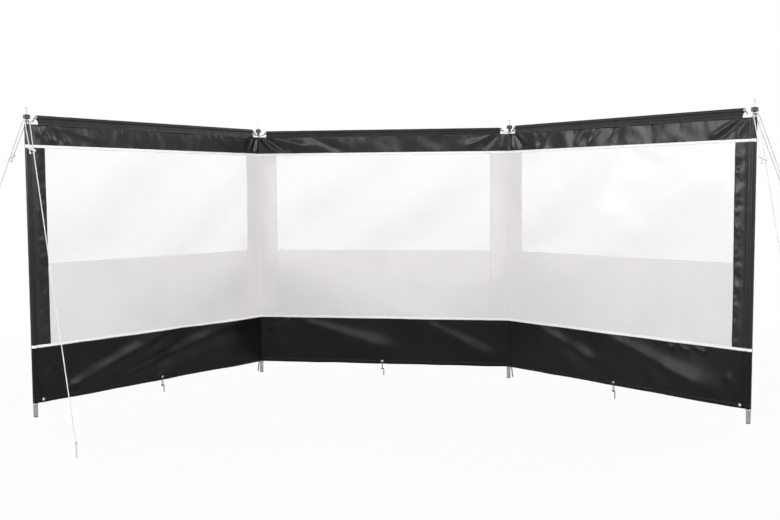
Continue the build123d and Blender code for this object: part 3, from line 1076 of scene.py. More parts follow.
@dataclass(frozen=True)
class Drape:
    """How the pitched cloth lies: long waves, puckers along its seams and pulled folds."""

    row: Row
    levels: Levels
    eyelets: tuple[tuple[float, float], ...]
    long_waves: Ripples = Ripples(11, 14, 0.35, 1.1, 20.0, 30.0, 2.0 * MM)
    top_waves: Ripples = Ripples(23, 22, 0.07, 0.3, 30.0, 32.0, 1.5 * MM)
    skirt_waves: Ripples = Ripples(37, 18, 0.14, 0.6, 35.0, 24.0, 3.0 * MM)
    pane_waves: Ripples = Ripples(41, 18, 0.12, 0.5, 60.0, 35.0, 0.9 * MM)
    end_waves: Ripples = Ripples(47, 24, 0.028, 0.11, 60.0, 40.0, 3.2 * MM)
    puckers: Ripples = Ripples(53, 34, 0.018, 0.06, 0.0, 18.0, 0.35 * MM)
    top_blend: float = 50 * MM
    low_blend: float = 60 * MM
    end_start: float = 30 * MM
    end_reach: float = 100 * MM
    end_fade: float = 20 * MM
    still: float = 12 * MM
    pole_hold: float = 120 * MM
    eyelet_hold: float = 45 * MM
    pucker_reach: float = 30 * MM

    def out(self, along: np.ndarray, up: np.ndarray) -> np.ndarray:
        """How far the cloth stands in front of its own line.

        Args:
            along: Distances along the cloth.
            up: Heights above the ground.

        Returns:
            Offsets in metres.
        """
        levels = self.levels
        top = ease(up, levels.upper_piping - self.top_blend, levels.top_band)
        panes = ease(up, levels.lower_piping, levels.light_band + self.low_blend)
        waves = self.long_waves.at(along, up)
        waves += self.top_waves.at(along, up) * top
        waves += self.skirt_waves.at(along, up) * (1 - panes)
        waves += self.pane_waves.at(along, up) * panes * (1 - top)
        seams = sum(
            np.exp(-(((up - seam) / self.pucker_reach) ** 2))
            for seam in (levels.bottom, levels.lower_piping, levels.upper_piping, levels.top)
        )
        waves += self.puckers.at(along, up) * seams
        from_end = np.minimum(along, self.row.length - along)
        begun = ease(from_end, self.end_start, self.end_start + self.end_fade)
        ends = (1 - ease(from_end, self.end_reach - self.end_fade, self.end_reach)) * begun
        waves += self.end_waves.at(along, up) * ends * panes
        for stop in self.row.stops:
            waves = waves * ease(np.abs(along - stop), self.still, self.pole_hold)
        waves = waves + sum(fold.at(self.row, along, up) for fold in (*TOP_FOLDS, *SKIRT_FOLDS))
        for place, height in self.eyelets:
            away = np.hypot(along - place, up - height)
            waves = waves * ease(away, self.still, self.eyelet_hold)
        return waves + self.row.wrap(along)


# Sub-assemblies of cloth


@dataclass(frozen=True)
class Tailor:
    """Cuts pieces of cloth to their place in the row and sews them there."""

    row: Row
    levels: Levels
    drape: Drape
    workshop: Workshop
    finishes: Finishes
    cloth: float = 0.5 * MM
    hole_radius: float = 6.5 * MM

    def surface(self, along: np.ndarray, up: np.ndarray, layer: float | np.ndarray) -> np.ndarray:
        """Points of the pitched cloth, this far in front of its base layer."""
        return self.row.at(along, up, self.drape.out(along, up) + layer)

    def cut(
        self,
        name: str,
        finish: Finish,
        span: tuple[float, float],
        rise: tuple[float, float],
        layer: float,
        cell: float,
        nodes: Sequence[str],
        rests_on: Sequence[str],
        crown: float = 0.0,
        holes: Sequence[tuple[float, float]] = (),
    ) -> bpy.types.Object:
        """Args:
            name: The piece's name.
            finish: What it is made of.
            span: Where it starts and ends along the cloth.
            rise: Its lower and upper edge.
            layer: How far it lies in front of the base layer.
            cell: Size of its mesh's cells.
            nodes: The solids that it replaces.
            rests_on: What holds it; not used.
            crown: How far its middle stands out between its lower and upper edge.
            holes: Eyelet places that are punched through it.

        Returns:
            The sheet.
        """
        steps = (-9, -6, -4, -2, -1, 0, 1, 2, 4, 6, 9, 12)
        bends = [stop + step * MM for stop in self.row.stops for step in steps]
        inside = [bend for bend in bends if span[0] + MM < bend < span[1] - MM]
        even = np.linspace(*span, max(2, round((span[1] - span[0]) / cell)) + 1)
        clear = [place for place in even[1:-1] if all(abs(place - bend) > 2 * MM for bend in inside)]
        columns = np.unique(np.array([span[0], *clear, *inside, span[1]]))
        rows = np.linspace(*rise, max(4, round((rise[1] - rise[0]) / cell)) + 1)
        along, up = np.meshgrid(columns, rows)
        punched: set[tuple[int, int]] = set()
        for place, height in holes:
            if span[0] < place < span[1]:
                self.punch(along, up, place, height, punched)
        bulge = crown * np.sin(np.clip((up - rise[0]) / (rise[1] - rise[0]), 0.0, 1.0) * math.pi)
        parts = MeshParts()
        parts.grid(self.surface(along, up, layer + bulge), np.stack([along, up], axis=-1), holes=punched)
        piece = parts.build(name, wall=self.cloth)
        self.workshop.dress(piece, finish, *nodes)
        return piece

    def punch(
        self, along: np.ndarray, up: np.ndarray, place: float, height: float, punched: set[tuple[int, int]]
    ) -> None:
        """Opens a round hole under an eyelet, by moving the cells' corners round it.

        Args:
            along: The grid's distances along the cloth, changed in place.
            up: The grid's heights, changed in place.
            place: The eyelet's distance along the cloth.
            height: The eyelet's height.
            punched: Gets the cells that are left out.
        """
        column = int(np.argmin(np.abs(along[0] - place)))
        row = int(np.argmin(np.abs(up[:, 0] - height)))
        for step_row in (-1, 0, 1):
            for step_column in (-1, 0, 1):
                if step_row or step_column:
                    reach = self.hole_radius / math.hypot(step_row, step_column)
                    along[row + step_row, column + step_column] = place + reach * step_column
                    up[row + step_row, column + step_column] = height + reach * step_row
        punched.update({(row - 1, column - 1), (row - 1, column), (row, column - 1), (row, column)})


@dataclass(frozen=True)
class Bands:
    """The black bands, the white pipings between them and the hem along the ground."""

    tailor: Tailor
    hem: float = 22 * MM
    overlap: float = 5 * MM

    def build(self) -> None:
        """Cuts the bands from one free edge to the other."""
        tailor, levels = self.tailor, self.tailor.levels
        finishes = tailor.finishes
        span = (0.0, tailor.row.length)
        poles = [f"pole_{number}" for number in range(1, 5)]
        holes = tailor.drape.eyelets
        tailor.cut(
            "top_band",
            finishes.top_cloth,
            span,
            (levels.top_band - self.overlap, levels.top),
            1.0 * MM,
            6.5 * MM,
            [f"top_band_{bay}" for bay in BAYS],
            poles,
        )
        # The bottom band and the hem below it get the cloth's copy that is painted darker, as shade.
        tailor.cut(
            "bottom_band",
            finishes.shaded_skirt_cloth,
            span,
            (levels.bottom, levels.lower_piping + self.overlap),
            1.0 * MM,
            7.5 * MM,
            [f"bottom_band_{bay}" for bay in BAYS],
            poles,
            holes=holes,
        )
        tailor.cut(
            "bottom_hem",
            finishes.shaded_skirt_cloth,
            span,
            (levels.bottom - 1 * MM, levels.bottom + self.hem),
            1.7 * MM,
            6.0 * MM,
            [],
            ["bottom_band"],
            crown=0.5 * MM,
            holes=holes,
        )
        for name, low, high in (
            ("upper_piping", levels.upper_piping, levels.top_band),
            ("lower_piping", levels.lower_piping, levels.light_band),
        ):
            tailor.cut(
                name,
                finishes.piping_tape,
                span,
                (low, high),
                1.2 * MM,
                6.5 * MM,
                [f"{name}_{bay}" for bay in BAYS],
                ["top_band" if name == "upper_piping" else "bottom_band"],
                crown=1.2 * MM,
            )


@dataclass(frozen=True)
class Panes:
    """The clear windows, the light bands below them and the upright strips beside them."""

    tailor: Tailor
    inner_half: float = 105 * MM
    end_width: float = 97 * MM
    overlap: float = 8 * MM

    def build(self) -> None:
        """Cuts three windows, three light bands and four upright strips."""
        tailor, levels, row = self.tailor, self.tailor.levels, self.tailor.row
        finishes = tailor.finishes
        edges = [
            (self.end_width, row.stops[1] - self.inner_half),
            (row.stops[1] + self.inner_half, row.stops[2] - self.inner_half),
            (row.stops[2] + self.inner_half, row.length - self.end_width),
        ]
        for bay, (start, end) in zip(BAYS, edges):
            span = (start - self.overlap, end + self.overlap)
            tailor.cut(
                f"window_film_{bay}",
                finishes.window_film,
                span,
                (levels.window - self.overlap, levels.upper_piping + self.overlap),
                0.0,
                12 * MM,
                [f"window_{bay}"],
                ["upper_piping"],
            )
            tailor.cut(
                f"light_cloth_{bay}",
                finishes.light_cloth,
                span,
                (levels.light_band - self.overlap, levels.window),
                0.5 * MM,
                10 * MM,
                [f"light_band_{bay}"],
                ["lower_piping"],
            )
        uprights = [
            ("inner_strip_left", finishes.light_cloth, (edges[0][1], edges[1][0])),
            ("inner_strip_right", finishes.light_cloth, (edges[1][1], edges[2][0])),
            ("end_strip_left", finishes.top_cloth, (0.0, edges[0][0])),
            ("end_strip_right", finishes.top_cloth, (edges[2][1], row.length)),
        ]
        for node, finish, span in uprights:
            tailor.cut(
                f"{node}_cloth",
                finish,
                span,
                (levels.light_band - 3 * MM, levels.upper_piping + 3 * MM),
                1.0 * MM,
                7 * MM,
                [node],
                ["upper_piping"],
            )


@dataclass(frozen=True)
class RailSleeves:
    """Black cloth folded over the rails and sewn to the top band."""

    tailor: Tailor
    start: float = 52 * MM
    snug: float = 0.1 * MM
    pinch_drop: float = 4 * MM
    pinch_front: float = -6.5 * MM
    step: float = 8 * MM
    waves: Ripples = Ripples(71, 22, 0.03, 0.16, 25.0, 25.0, 0.6 * MM)
    sag: Ripples = Ripples(73, 9, 0.25, 0.8, 0.0, 10.0, 0.8 * MM)

    def build(self) -> None:
        """Folds one sleeve over each rail."""
        tailor, row = self.tailor, self.tailor.row
        for bay, pole, heading, front in zip(BAYS, row.poles, row.headings, row.fronts):
            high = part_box(f"rail_sleeve_{bay}")[1]
            radius = row.pole_radius - self.snug
            centre = high.z - row.pole_radius
            outline = self.outline(centre, radius, tailor.levels.top - 3 * MM)
            far = (row.poles[1] - row.poles[0]).length - self.start
            along = np.linspace(self.start, far, round((far - self.start) / self.step) + 1)
            girth = np.concatenate(([0.0], np.cumsum(np.linalg.norm(np.diff(outline, axis=0), axis=1))))
            places, around = np.meshgrid(along, girth)
            slack = np.clip((centre - outline[:, 1]) / 0.02, 0.0, 1.0)[:, None]
            inner = np.clip((outline[:, 1] - tailor.levels.top) / 0.012, 0.0, 1.0)[:, None]
            waves = self.waves.at(places + pole.length, around) * (0.15 + slack) * inner
            waves += self.sag.at(places + pole.length, around) * slack * inner
            tangent = np.gradient(outline, axis=0)
            tangent /= np.linalg.norm(tangent, axis=1)[:, None]
            back = outline[:, 0][:, None] - tangent[:, 1][:, None] * waves
            up = outline[:, 1][:, None] + tangent[:, 0][:, None] * waves
            x = pole.x + heading.x * places - front.x * back
            y = pole.y + heading.y * places - front.y * back
            parts = MeshParts()
            parts.grid(np.stack([x, y, up], axis=-1), np.stack([places, around], axis=-1))
            piece = parts.build(f"shaded_sleeve_cloth_{bay}", wall=tailor.cloth)
            # The sleeves get the cloth's copy that is painted darker than the band, as shade.
            tailor.workshop.dress(piece, tailor.finishes.shaded_sleeve_cloth, f"rail_sleeve_{bay}")

    def outline(self, centre: float, radius: float, seam: float) -> np.ndarray:
        """The sleeve's section, from its front seam over the rail to its back seam.

        Args:
            centre: Height of the rail's axis.
            radius: The sleeve's radius round the rail.
            seam: Height of the seam with the top band.

        Returns:
            Points: how far behind the pole axes, and height.
        """
        depth = self.tailor.row.cloth_depth
        pinch = centre - radius - self.pinch_drop
        over = np.radians(np.linspace(228.0, -62.0, 18))
        arc = np.stack([np.cos(over) * radius, centre + np.sin(over) * radius], axis=1)
        halfway = (seam + pinch) / 2
        front = [(-depth - 2.0 * MM, seam), (-depth - 0.6 * MM, halfway), (self.pinch_front, pinch)]
        back = [(self.pinch_front + 2 * MM, pinch), (-depth + 1.6 * MM, halfway), (-depth + 0.2 * MM, seam)]
        return soft_line([np.array(point) for point in (*front, *arc, *back)], rounds=1)


@dataclass(frozen=True)
class PolePockets:
    """Cloth sewn round the back of each pole, in the colours of the bands that it meets."""

    tailor: Tailor
    gap: float = 1.4 * MM
    hem_reach: float = 27 * MM
    step: float = 12 * MM
    waves: Ripples = Ripples(83, 16, 0.03, 0.14, 80.0, 20.0, 0.3 * MM)

    def build(self) -> None:
        """Sews one pocket to each pole, in up to three lengths of cloth."""
        tailor, levels = self.tailor, self.tailor.levels
        finishes = tailor.finishes
        seam_low = (levels.lower_piping + levels.light_band) / 2
        seam_high = (levels.upper_piping + levels.top_band) / 2
        for number in range(1, 5):
            if number in (1, 4):
                zones = [("", finishes.top_cloth, levels.bottom, levels.top)]
            else:
                # The lowest length gets the cloth's copy that is painted darker as shade, like the bottom
                # band.
                zones = [
                    ("_low", finishes.shaded_skirt_cloth, levels.bottom, seam_low),
                    ("_light", finishes.light_cloth, seam_low, seam_high),
                    ("_top", finishes.top_cloth, seam_high, levels.top),
                ]
            for order, (zone, finish, low, high) in enumerate(zones):
                self.sew(number, f"pocket_cloth_{number}{zone}", finish, low, high, order == 0)

    def sew(self, number: int, name: str, finish: Finish, low: float, high: float, first: bool) -> None:
        """Sews one length of pocket.

        Args:
            number: The pole's number, from 1.
            name: The piece's name.
            finish: What it is made of.
            low: Its lower edge.
            high: Its upper edge.
            first: Whether it stands for the pocket's solid.
        """
        line = self.plan(number)
        girth = np.concatenate(([0.0], np.cumsum(np.linalg.norm(np.diff(line, axis=0), axis=1))))
        levels = np.linspace(low, high, max(3, round((high - low) / self.step) + 1))
        around, up = np.meshgrid(girth, levels)
        tangent = np.gradient(line, axis=0)
        tangent /= np.linalg.norm(tangent, axis=1)[:, None]
        outward = np.stack([tangent[:, 1], -tangent[:, 0]], axis=1)
        held = np.sin(np.clip(girth / girth[-1], 0.0, 1.0) * math.pi)
        waves = np.clip(self.waves.at(around + number, up), -0.4 * MM, 2 * MM) * held
        x = line[:, 0][None] + outward[:, 0][None] * waves
        y = line[:, 1][None] + outward[:, 1][None] * waves
        parts = MeshParts()
        parts.grid(np.stack([x, y, up], axis=-1), np.stack([around, up], axis=-1))
        piece = parts.build(name, wall=self.tailor.cloth)
        self.tailor.workshop.dress(piece, finish, *([f"pole_pocket_{number}"] if first else []))

    def plan(self, number: int) -> np.ndarray:
        """The pocket's line in plan, from its right edge round the back to its left edge.

        Args:
            number: The pole's number, from 1.

        Returns:
            Points, with two coordinates each.
        """
        row = self.tailor.row
        pole = row.poles[number - 1]
        before = max(number - 2, 0)
        after = min(number - 1, 2)
        radius = row.pole_radius + self.gap
        sides = []
        for bay, way in ((after, 1), (before, -1)):
            heading, front = row.headings[bay] * way, row.fronts[bay]
            free = (number == 1 and way == -1) or (number == 4 and way == 1)
            if free:
                corners = [(radius + 0.1 * MM, 1.8 * MM), (radius, -1.0 * MM)]
            elif number in (1, 4):
                corners = [(self.hem_reach, 9.4 * MM), (17 * MM, 6.4 * MM), (13.2 * MM, 5.2 * MM)]
            else:
                corners = [(self.hem_reach, 10.8 * MM), (16 * MM, 10.4 * MM), (13.6 * MM, 6.0 * MM)]
            if not free:
                corners.append((radius, 0.0))
            sides.append([pole + heading * reach + front * depth for reach, depth in corners])
        start = math.atan2(*reversed((sides[0][-1] - pole)[:]))
        end = math.atan2(*reversed((sides[1][-1] - pole)[:]))
        if end < start:
            end += 2 * math.pi
        margin, steps = 0.06, 8
        swing = [start + (end - start) * share for share in np.linspace(margin, 1 - margin, steps + 1)]
        widened = radius / math.cos((end - start) * (1 - 2 * margin) / steps / 2)
        arc = [pole + Vector((math.cos(angle), math.sin(angle))) * widened for angle in swing]
        return soft_line([np.array(point[:]) for point in (*sides[0], *arc, *reversed(sides[1]))])


@dataclass(frozen=True)
class Stitching:
    """Rows of thread along every seam, laid on the cloth by geometry nodes."""

    tailor: Tailor
    spacing: float = 5.5 * MM
    stitch: float = 4.2 * MM
    # Real thread is 0.4 mm thick, drawn thicker so that a row of stitches still shows.
    thread: float = 0.9 * MM
    step: float = 11 * MM
    inner_seams: tuple[float, ...] = (-101 * MM, -20 * MM, 20 * MM, 101 * MM)
    end_seam: float = 93 * MM
    pole_seam: float = 12.5 * MM

    def build(self) -> None:
        """Sews the rows of each thread colour."""
        tailor, levels, row = self.tailor, self.tailor.levels, self.tailor.row
        whole = (4 * MM, row.length - 4 * MM)
        tree = self.tree()
        level_rows = {
            "piping_stitches": (
                tailor.finishes.white_thread,
                [
                    (levels.upper_piping + 2.5 * MM, 2.0 * MM),
                    (levels.top_band - 2.5 * MM, 2.0 * MM),
                    (levels.lower_piping + 2.5 * MM, 2.0 * MM),
                    (levels.light_band - 2.5 * MM, 2.0 * MM),
                ],
            ),
            "band_stitches": (
                tailor.finishes.black_thread,
                [
                    (levels.top_band + 5 * MM, 1.3 * MM),
                    (levels.top - 6 * MM, 1.3 * MM),
                    (levels.lower_piping - 5 * MM, 1.3 * MM),
                    (levels.bottom + 18 * MM, 2.3 * MM),
                ],
            ),
        }
        for name, (finish, rows) in level_rows.items():
            lines = [self.line(whole, (height, height), layer) for height, layer in rows]
            self.sew(name, finish, lines, tree)
        inner, outer = levels.light_band, levels.upper_piping
        light = [
            self.line((stop + side, stop + side), (inner, outer), 1.3 * MM)
            for stop in row.stops[1:3]
            for side in self.inner_seams
        ]
        self.sew("upright_stitches_light", tailor.finishes.white_thread, light, tree)
        ends = (self.end_seam, row.length - self.end_seam)
        dark = [self.line((place, place), (inner, outer), 1.3 * MM) for place in ends]
        beside = (row.stops[0] + self.pole_seam, row.stops[3] - self.pole_seam)
        dark += [self.line((place, place), (levels.bottom, levels.top), 1.3 * MM) for place in beside]
        self.sew("upright_stitches_black", tailor.finishes.black_thread, dark, tree)

    def line(self, span: tuple[float, float], rise: tuple[float, float], layer: float) -> np.ndarray:
        """Points of one seam on the cloth.

        Args:
            span: Where it starts and ends along the cloth.
            rise: Its height at its start and end.
            layer: How far it lies in front of the base layer.

        Returns:
            The seam's points.
        """
        length = math.hypot(span[1] - span[0], rise[1] - rise[0])
        count = round(length / self.step) + 1
        return self.tailor.surface(np.linspace(*span, count), np.linspace(*rise, count), layer)

    def sew(self, name: str, finish: Finish, lines: list[np.ndarray], tree: bpy.types.NodeTree) -> None:
        """Lays stitches along seams and makes them one mesh.

        Args:
            name: The piece's name.
            finish: The thread.
            lines: The seams' points.
            tree: The geometry nodes that lay the stitches.
        """
        points: list[list[float]] = []
        edges: list[tuple[int, int]] = []
        for line in lines:
            edges += [(len(points) + step, len(points) + step + 1) for step in range(len(line) - 1)]
            points += line.tolist()
        seam = bpy.data.meshes.new(f"{name}_seams")
        seam.from_pydata(points, edges, [])
        carrier = bpy.data.objects.new(f"{name}_seams", seam)
        bpy.context.scene.collection.objects.link(carrier)
        modifier = carrier.modifiers.new("stitches", "NODES")
        modifier.node_group = tree
        wanted = {
            "Spacing": self.spacing,
            "Stitch": self.stitch,
            "Thread": self.thread,
            "Finish": self.tailor.workshop.material(finish),
        }
        for item in tree.interface.items_tree:
            if item.item_type == "SOCKET" and item.in_out == "INPUT" and item.name in wanted:
                modifier[item.identifier] = wanted[item.name]
        graph = bpy.context.evaluated_depsgraph_get()
        mesh = bpy.data.meshes.new_from_object(carrier.evaluated_get(graph))
        carrier.modifiers.remove(modifier)
        bpy.data.objects.remove(carrier)
        bpy.data.meshes.remove(seam)
        mesh.name = name
        mesh.polygons.foreach_set("use_smooth", [True] * len(mesh.polygons))
        piece = bpy.data.objects.new(name, mesh)
        bpy.context.scene.collection.objects.link(piece)
        self.tailor.workshop.dress(piece, finish)

    @staticmethod
    def tree() -> bpy.types.NodeTree:
        """Makes the geometry nodes: a stitch at each step along every seam.

        Returns:
            The node group.
        """
        tree = bpy.data.node_groups.new("stitch_row", "GeometryNodeTree")
        tree.interface.new_socket("Seams", in_out="INPUT", socket_type="NodeSocketGeometry")
        for name in ("Spacing", "Stitch", "Thread"):
            tree.interface.new_socket(name, in_out="INPUT", socket_type="NodeSocketFloat")
        tree.interface.new_socket("Finish", in_out="INPUT", socket_type="NodeSocketMaterial")
        tree.interface.new_socket("Stitches", in_out="OUTPUT", socket_type="NodeSocketGeometry")
        given = add(tree, "NodeGroupInput").outputs
        curve = add(tree, "GeometryNodeMeshToCurve", {"Mesh": given["Seams"]})
        stops = add(
            tree,
            "GeometryNodeResampleCurve",
            {"Curve": curve.outputs["Curve"], "Length": given["Spacing"]},
            mode="LENGTH",
        )
        bead = add(tree, "GeometryNodeMeshUVSphere", {"Segments": 6, "Rings": 4, "Radius": 0.5})
        uneven = add(
            tree, "FunctionNodeRandomValue", {"Min": 0.85, "Max": 1.1, "Seed": 5}, data_type="FLOAT"
        )
        uneven_length = next(socket for socket in uneven.outputs if socket.enabled)
        length = add(tree, "ShaderNodeMath", {0: given["Stitch"], 1: uneven_length}, operation="MULTIPLY")
        size = add(
            tree,
            "ShaderNodeCombineXYZ",
            {"X": length.outputs[0], "Y": given["Thread"], "Z": given["Thread"]},
        )
        way = add(
            tree,
            "FunctionNodeAlignRotationToVector",
            {"Vector": add(tree, "GeometryNodeInputTangent").outputs["Tangent"]},
            axis="X",
        )
        laid = add(
            tree,
            "GeometryNodeInstanceOnPoints",
            {
                "Points": stops.outputs["Curve"],
                "Instance": bead.outputs["Mesh"],
                "Rotation": way.outputs["Rotation"],
                "Scale": size.outputs["Vector"],
            },
        )
        real = add(tree, "GeometryNodeRealizeInstances", {"Geometry": laid.outputs["Instances"]})
        dressed = add(
            tree,
            "GeometryNodeSetMaterial",
            {"Geometry": real.outputs["Geometry"], "Material": given["Finish"]},
        )
        add(tree, "NodeGroupOutput", {"Stitches": dressed.outputs["Geometry"]})
        return tree


# Ropes and foot fittings


@dataclass(frozen=True)
class GuyRope:
    """One guy: a loop round the knob's hub, a slider, a single run and a loop on its stake."""

    name: str
    pole: int
    heading: float
    order: int
    slider_reach: float
    shoulder: float = 1432 * MM
    eye: float = 3 * MM
    radius: float = 2.5 * MM
    pitch: float = 5.5 * MM
    hub_reach: float = 10.5 * MM
    lead: float = 14 * MM
    stake_reach: float = 850 * MM
    stake_loop: float = 56 * MM
    stake_radius: float = 3 * MM
    knot_radius: float = 5 * MM
    knot_gap: float = 0.3 * MM
    knot_spread: float = 8 * MM
    tail: float = 24 * MM
    strands: int = 3
    strand_lay: float = 13 * MM
    step: float = 1.6 * MM

    def build(self, row: Row, workshop: Workshop, finishes: Finishes) -> None:
        """Lays the rope from the pole's top to its stake.

        Args:
            row: The row, which says where the pole is.
            workshop: Makes and hands out the finishes.
            finishes: Every finish on the windbreak.
        """
        foot = row.poles[self.pole].to_3d()
        out = heading_vector(self.heading)
        side = Vector((-out.y, out.x, 0.0))
        up = Vector((0.0, 0.0, 1.0))
        hub = foot + up * (self.shoulder + self.eye + self.radius + self.order * self.pitch)
        ring = foot + out * self.stake_reach + up * self.stake_loop
        end_knot = ring - out * (self.stake_radius + self.knot_radius + self.knot_gap)
        elbow = hub + out * self.lead
        fall = (end_knot - elbow).normalized()
        knot = elbow + fall * (self.slider_reach + self.tail)
        knots = [knot + side * (way * self.knot_spread) for way in (-1, 1)]
        parts = MeshParts()
        corners = [knots[0], elbow - side * self.hub_reach + fall * self.lead, elbow - side * self.hub_reach]
        for angle in (-90, -130, -157, 157, 130, 90):
            reach = self.hub_reach / math.cos(math.radians(20))
            turn = math.radians(angle)
            corners.append(hub + out * (math.cos(turn) * reach) + side * (math.sin(turn) * reach))
        corners += [elbow + side * self.hub_reach, elbow + side * self.hub_reach + fall * self.lead, knots[1]]
        self.lay(parts, spline(corners, self.step))
        self.lay(parts, spline([knots[1], end_knot], self.step))
        turns = np.linspace(0.0, 2 * math.pi, 40, endpoint=False)
        loop = self.stake_radius + self.radius
        circle = [np.array(ring) + loop * np.array([math.cos(turn), math.sin(turn), 0.0]) for turn in turns]
        self.lay(parts, np.array(circle), closed=True)
        for centre in (*knots, end_knot):
            self.tie(parts, centre, fall, side)
        piece = parts.build(f"laid_rope_{self.name}")
        weld(piece)
        workshop.dress(piece, finishes.guy_rope, f"guy_rope_{self.name}")

    def lay(self, parts: MeshParts, path: np.ndarray, closed: bool = False) -> None:
        """Adds a length of laid rope along a path."""
        parts.tube(path, self.radius, sides=15, closed=closed, strands=self.strands, lay=self.strand_lay)

    def tie(self, parts: MeshParts, centre: Vector, along: Vector, side: Vector) -> None:
        """Adds an overhand knot: the rope's own trefoil, pulled tight.

        Args:
            parts: The rope's mesh so far.
            centre: The knot's centre.
            along: The rope's direction there.
            side: A direction across the rope.
        """
        turns = np.linspace(0.0, 2 * math.pi, 64, endpoint=False)
        grow = (self.knot_radius - 0.6 * self.radius) / 3
        wide = (2 + np.cos(3 * turns)) * grow
        axes = [np.array(along), np.array(side), np.array(along.cross(side))]
        path = (
            np.array(centre)
            + np.outer(np.cos(2 * turns) * wide, axes[0])
            + np.outer(np.sin(2 * turns) * wide, axes[1])
            + np.outer(np.sin(3 * turns) * grow * 1.2, axes[2])
        )
        parts.tube(path, 0.8 * self.radius, sides=10, closed=True)


GUY_ROPES = (
    GuyRope("left_front", 0, -50.1, 0, 158 * MM),
    GuyRope("left_back", 0, 158.8, 1, 200 * MM),
    GuyRope("right_front", 3, -85.7, 0, 240 * MM),
    GuyRope("right_back", 3, 38.8, 1, 370 * MM),
)


@dataclass(frozen=True)
class FootFittings:
    """Webbing loops round the pole feet, and rubber loops from the hem to the ground pegs."""

    row: Row
    levels: Levels
    workshop: Workshop
    finishes: Finishes
    webbing_height: float = 9 * MM
    webbing_thickness: float = 1.6 * MM
    webbing_gap: float = 0.5 * MM
    stretch: float = 16 * MM
    peg_sides: dict[int, float] = field(default_factory=lambda: {1: 145.0, 2: 46.0})
    rubber_radius: float = 1.75 * MM
    rubber_half_width: float = 5 * MM
    low: float = 35.75 * MM
    high: float = 82.95 * MM

    def build(self) -> None:
        """Makes both kinds of loop."""
        self.webbing()
        self.rubber()

    def webbing(self) -> None:
        """Winds a flat band round each pole foot, stretched to the peg at an inner pole."""
        parts = MeshParts()
        radius = self.row.pole_radius + self.webbing_gap + self.webbing_thickness / 2
        for number, pole in enumerate(self.row.poles):
            reach = self.stretch if number in self.peg_sides else 0.0
            side = heading_vector(self.peg_sides.get(number, 0.0)).to_2d()
            across = Vector((-side.y, side.x))
            line = []
            for centre, start in ((pole, 90), (pole + side * reach, -90)):
                for angle in np.radians(np.linspace(start, start + 180, 19)[:-1]):
                    reached = side * (math.cos(angle) * radius) + across * (math.sin(angle) * radius)
                    line.append(centre + reached)
            self.band(parts, np.array([point[:] for point in line]), self.levels.bottom - self.webbing_height)
        piece = parts.build("woven_webbing_loops")
        weld(piece)
        self.workshop.dress(piece, self.finishes.strap, "webbing_loops")

    def band(self, parts: MeshParts, line: np.ndarray, low: float) -> None:
        """Adds a flat band that stands on its edge along a closed line.

        Args:
            parts: The mesh so far.
            line: The band's line in plan.
            low: Its lower edge.
        """
        ahead = np.roll(line, -1, axis=0) - np.roll(line, 1, axis=0)
        ahead /= np.linalg.norm(ahead, axis=1)[:, None]
        outward = np.stack([ahead[:, 1], -ahead[:, 0]], axis=1)
        steps = np.linalg.norm(np.diff(line, axis=0, append=line[:1]), axis=1)
        travelled = np.concatenate(([0.0], np.cumsum(steps)))
        half, rim = self.webbing_thickness / 2, 0.5 * MM
        high = low + self.webbing_height
        section = [
            (half, low + rim),
            (half, high - rim),
            (half - rim, high),
            (-half + rim, high),
            (-half, high - rim),
            (-half, low + rim),
            (-half + rim, low),
            (half - rim, low),
        ]
        rings = []
        for offset, height in section:
            edge = line + outward * offset
            ring = np.column_stack([edge, np.full(len(edge), height)])
            rings.append(np.concatenate([ring, ring[:1]]))
        points = np.array(rings)
        girth = np.linspace(0.0, 2 * self.webbing_height, len(section))
        places = np.stack(np.meshgrid(travelled, girth), axis=-1)
        parts.grid(points, places, closed=True)

    def rubber(self) -> None:
        """Hangs a rubber loop through each middle eyelet, down to its peg."""
        parts = MeshParts()
        middle = self.row.cloth_depth + 0.5 * MM
        for pole, after, front in zip(self.row.poles, self.row.poles[1:], self.row.fronts):
            centre = (pole + after) / 2 + front * middle
            low = self.low + self.rubber_half_width
            high = self.high - self.rubber_half_width
            path = []
            for level, start in ((high, 0), (low, 180)):
                for angle in np.radians(np.linspace(start, start + 180, 15)):
                    across = centre + front * (math.cos(angle) * self.rubber_half_width)
                    path.append((*across, level + math.sin(angle) * self.rubber_half_width))
            parts.tube(np.array(path), self.rubber_radius, sides=12, closed=True)
        piece = parts.build("moulded_rubber_loops")
        weld(piece)
        self.workshop.dress(piece, self.finishes.loop_rubber, "rubber_loops")


@dataclass(frozen=True)
class Hardware:
    """The rigid pieces, which keep their solids and get a finish."""

    workshop: Workshop
    finishes: Finishes

    def build(self, nodes: dict[str, bpy.types.Object]) -> None:
        """Gives every rigid node its finish.

        Args:
            nodes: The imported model's nodes by name.
        """
        finishes = self.finishes
        by_start = {
            "pole_": finishes.pole_zinc,
            "foot_plug_": finishes.knob_nylon,
            "spike_": finishes.rail_zinc,
            "rail_": finishes.rail_zinc,
            "knob_": finishes.knob_nylon,
            "eyelets": finishes.eyelet_nickel,
            "ground_pegs": finishes.peg_lacquer,
            "corner_pegs": finishes.peg_lacquer,
            "guy_stakes": finishes.peg_zinc,
            "rope_sliders": finishes.slider_nylon,
        }
        for name, node in nodes.items():
            if node.hide_render:
                continue
            for start, finish in by_start.items():
                if name.startswith(start):
                    node.data.materials.clear()
                    node.data.materials.append(self.workshop.material(finish))
                    LOG.info("%s: %s", name, finish.name)


# Studio


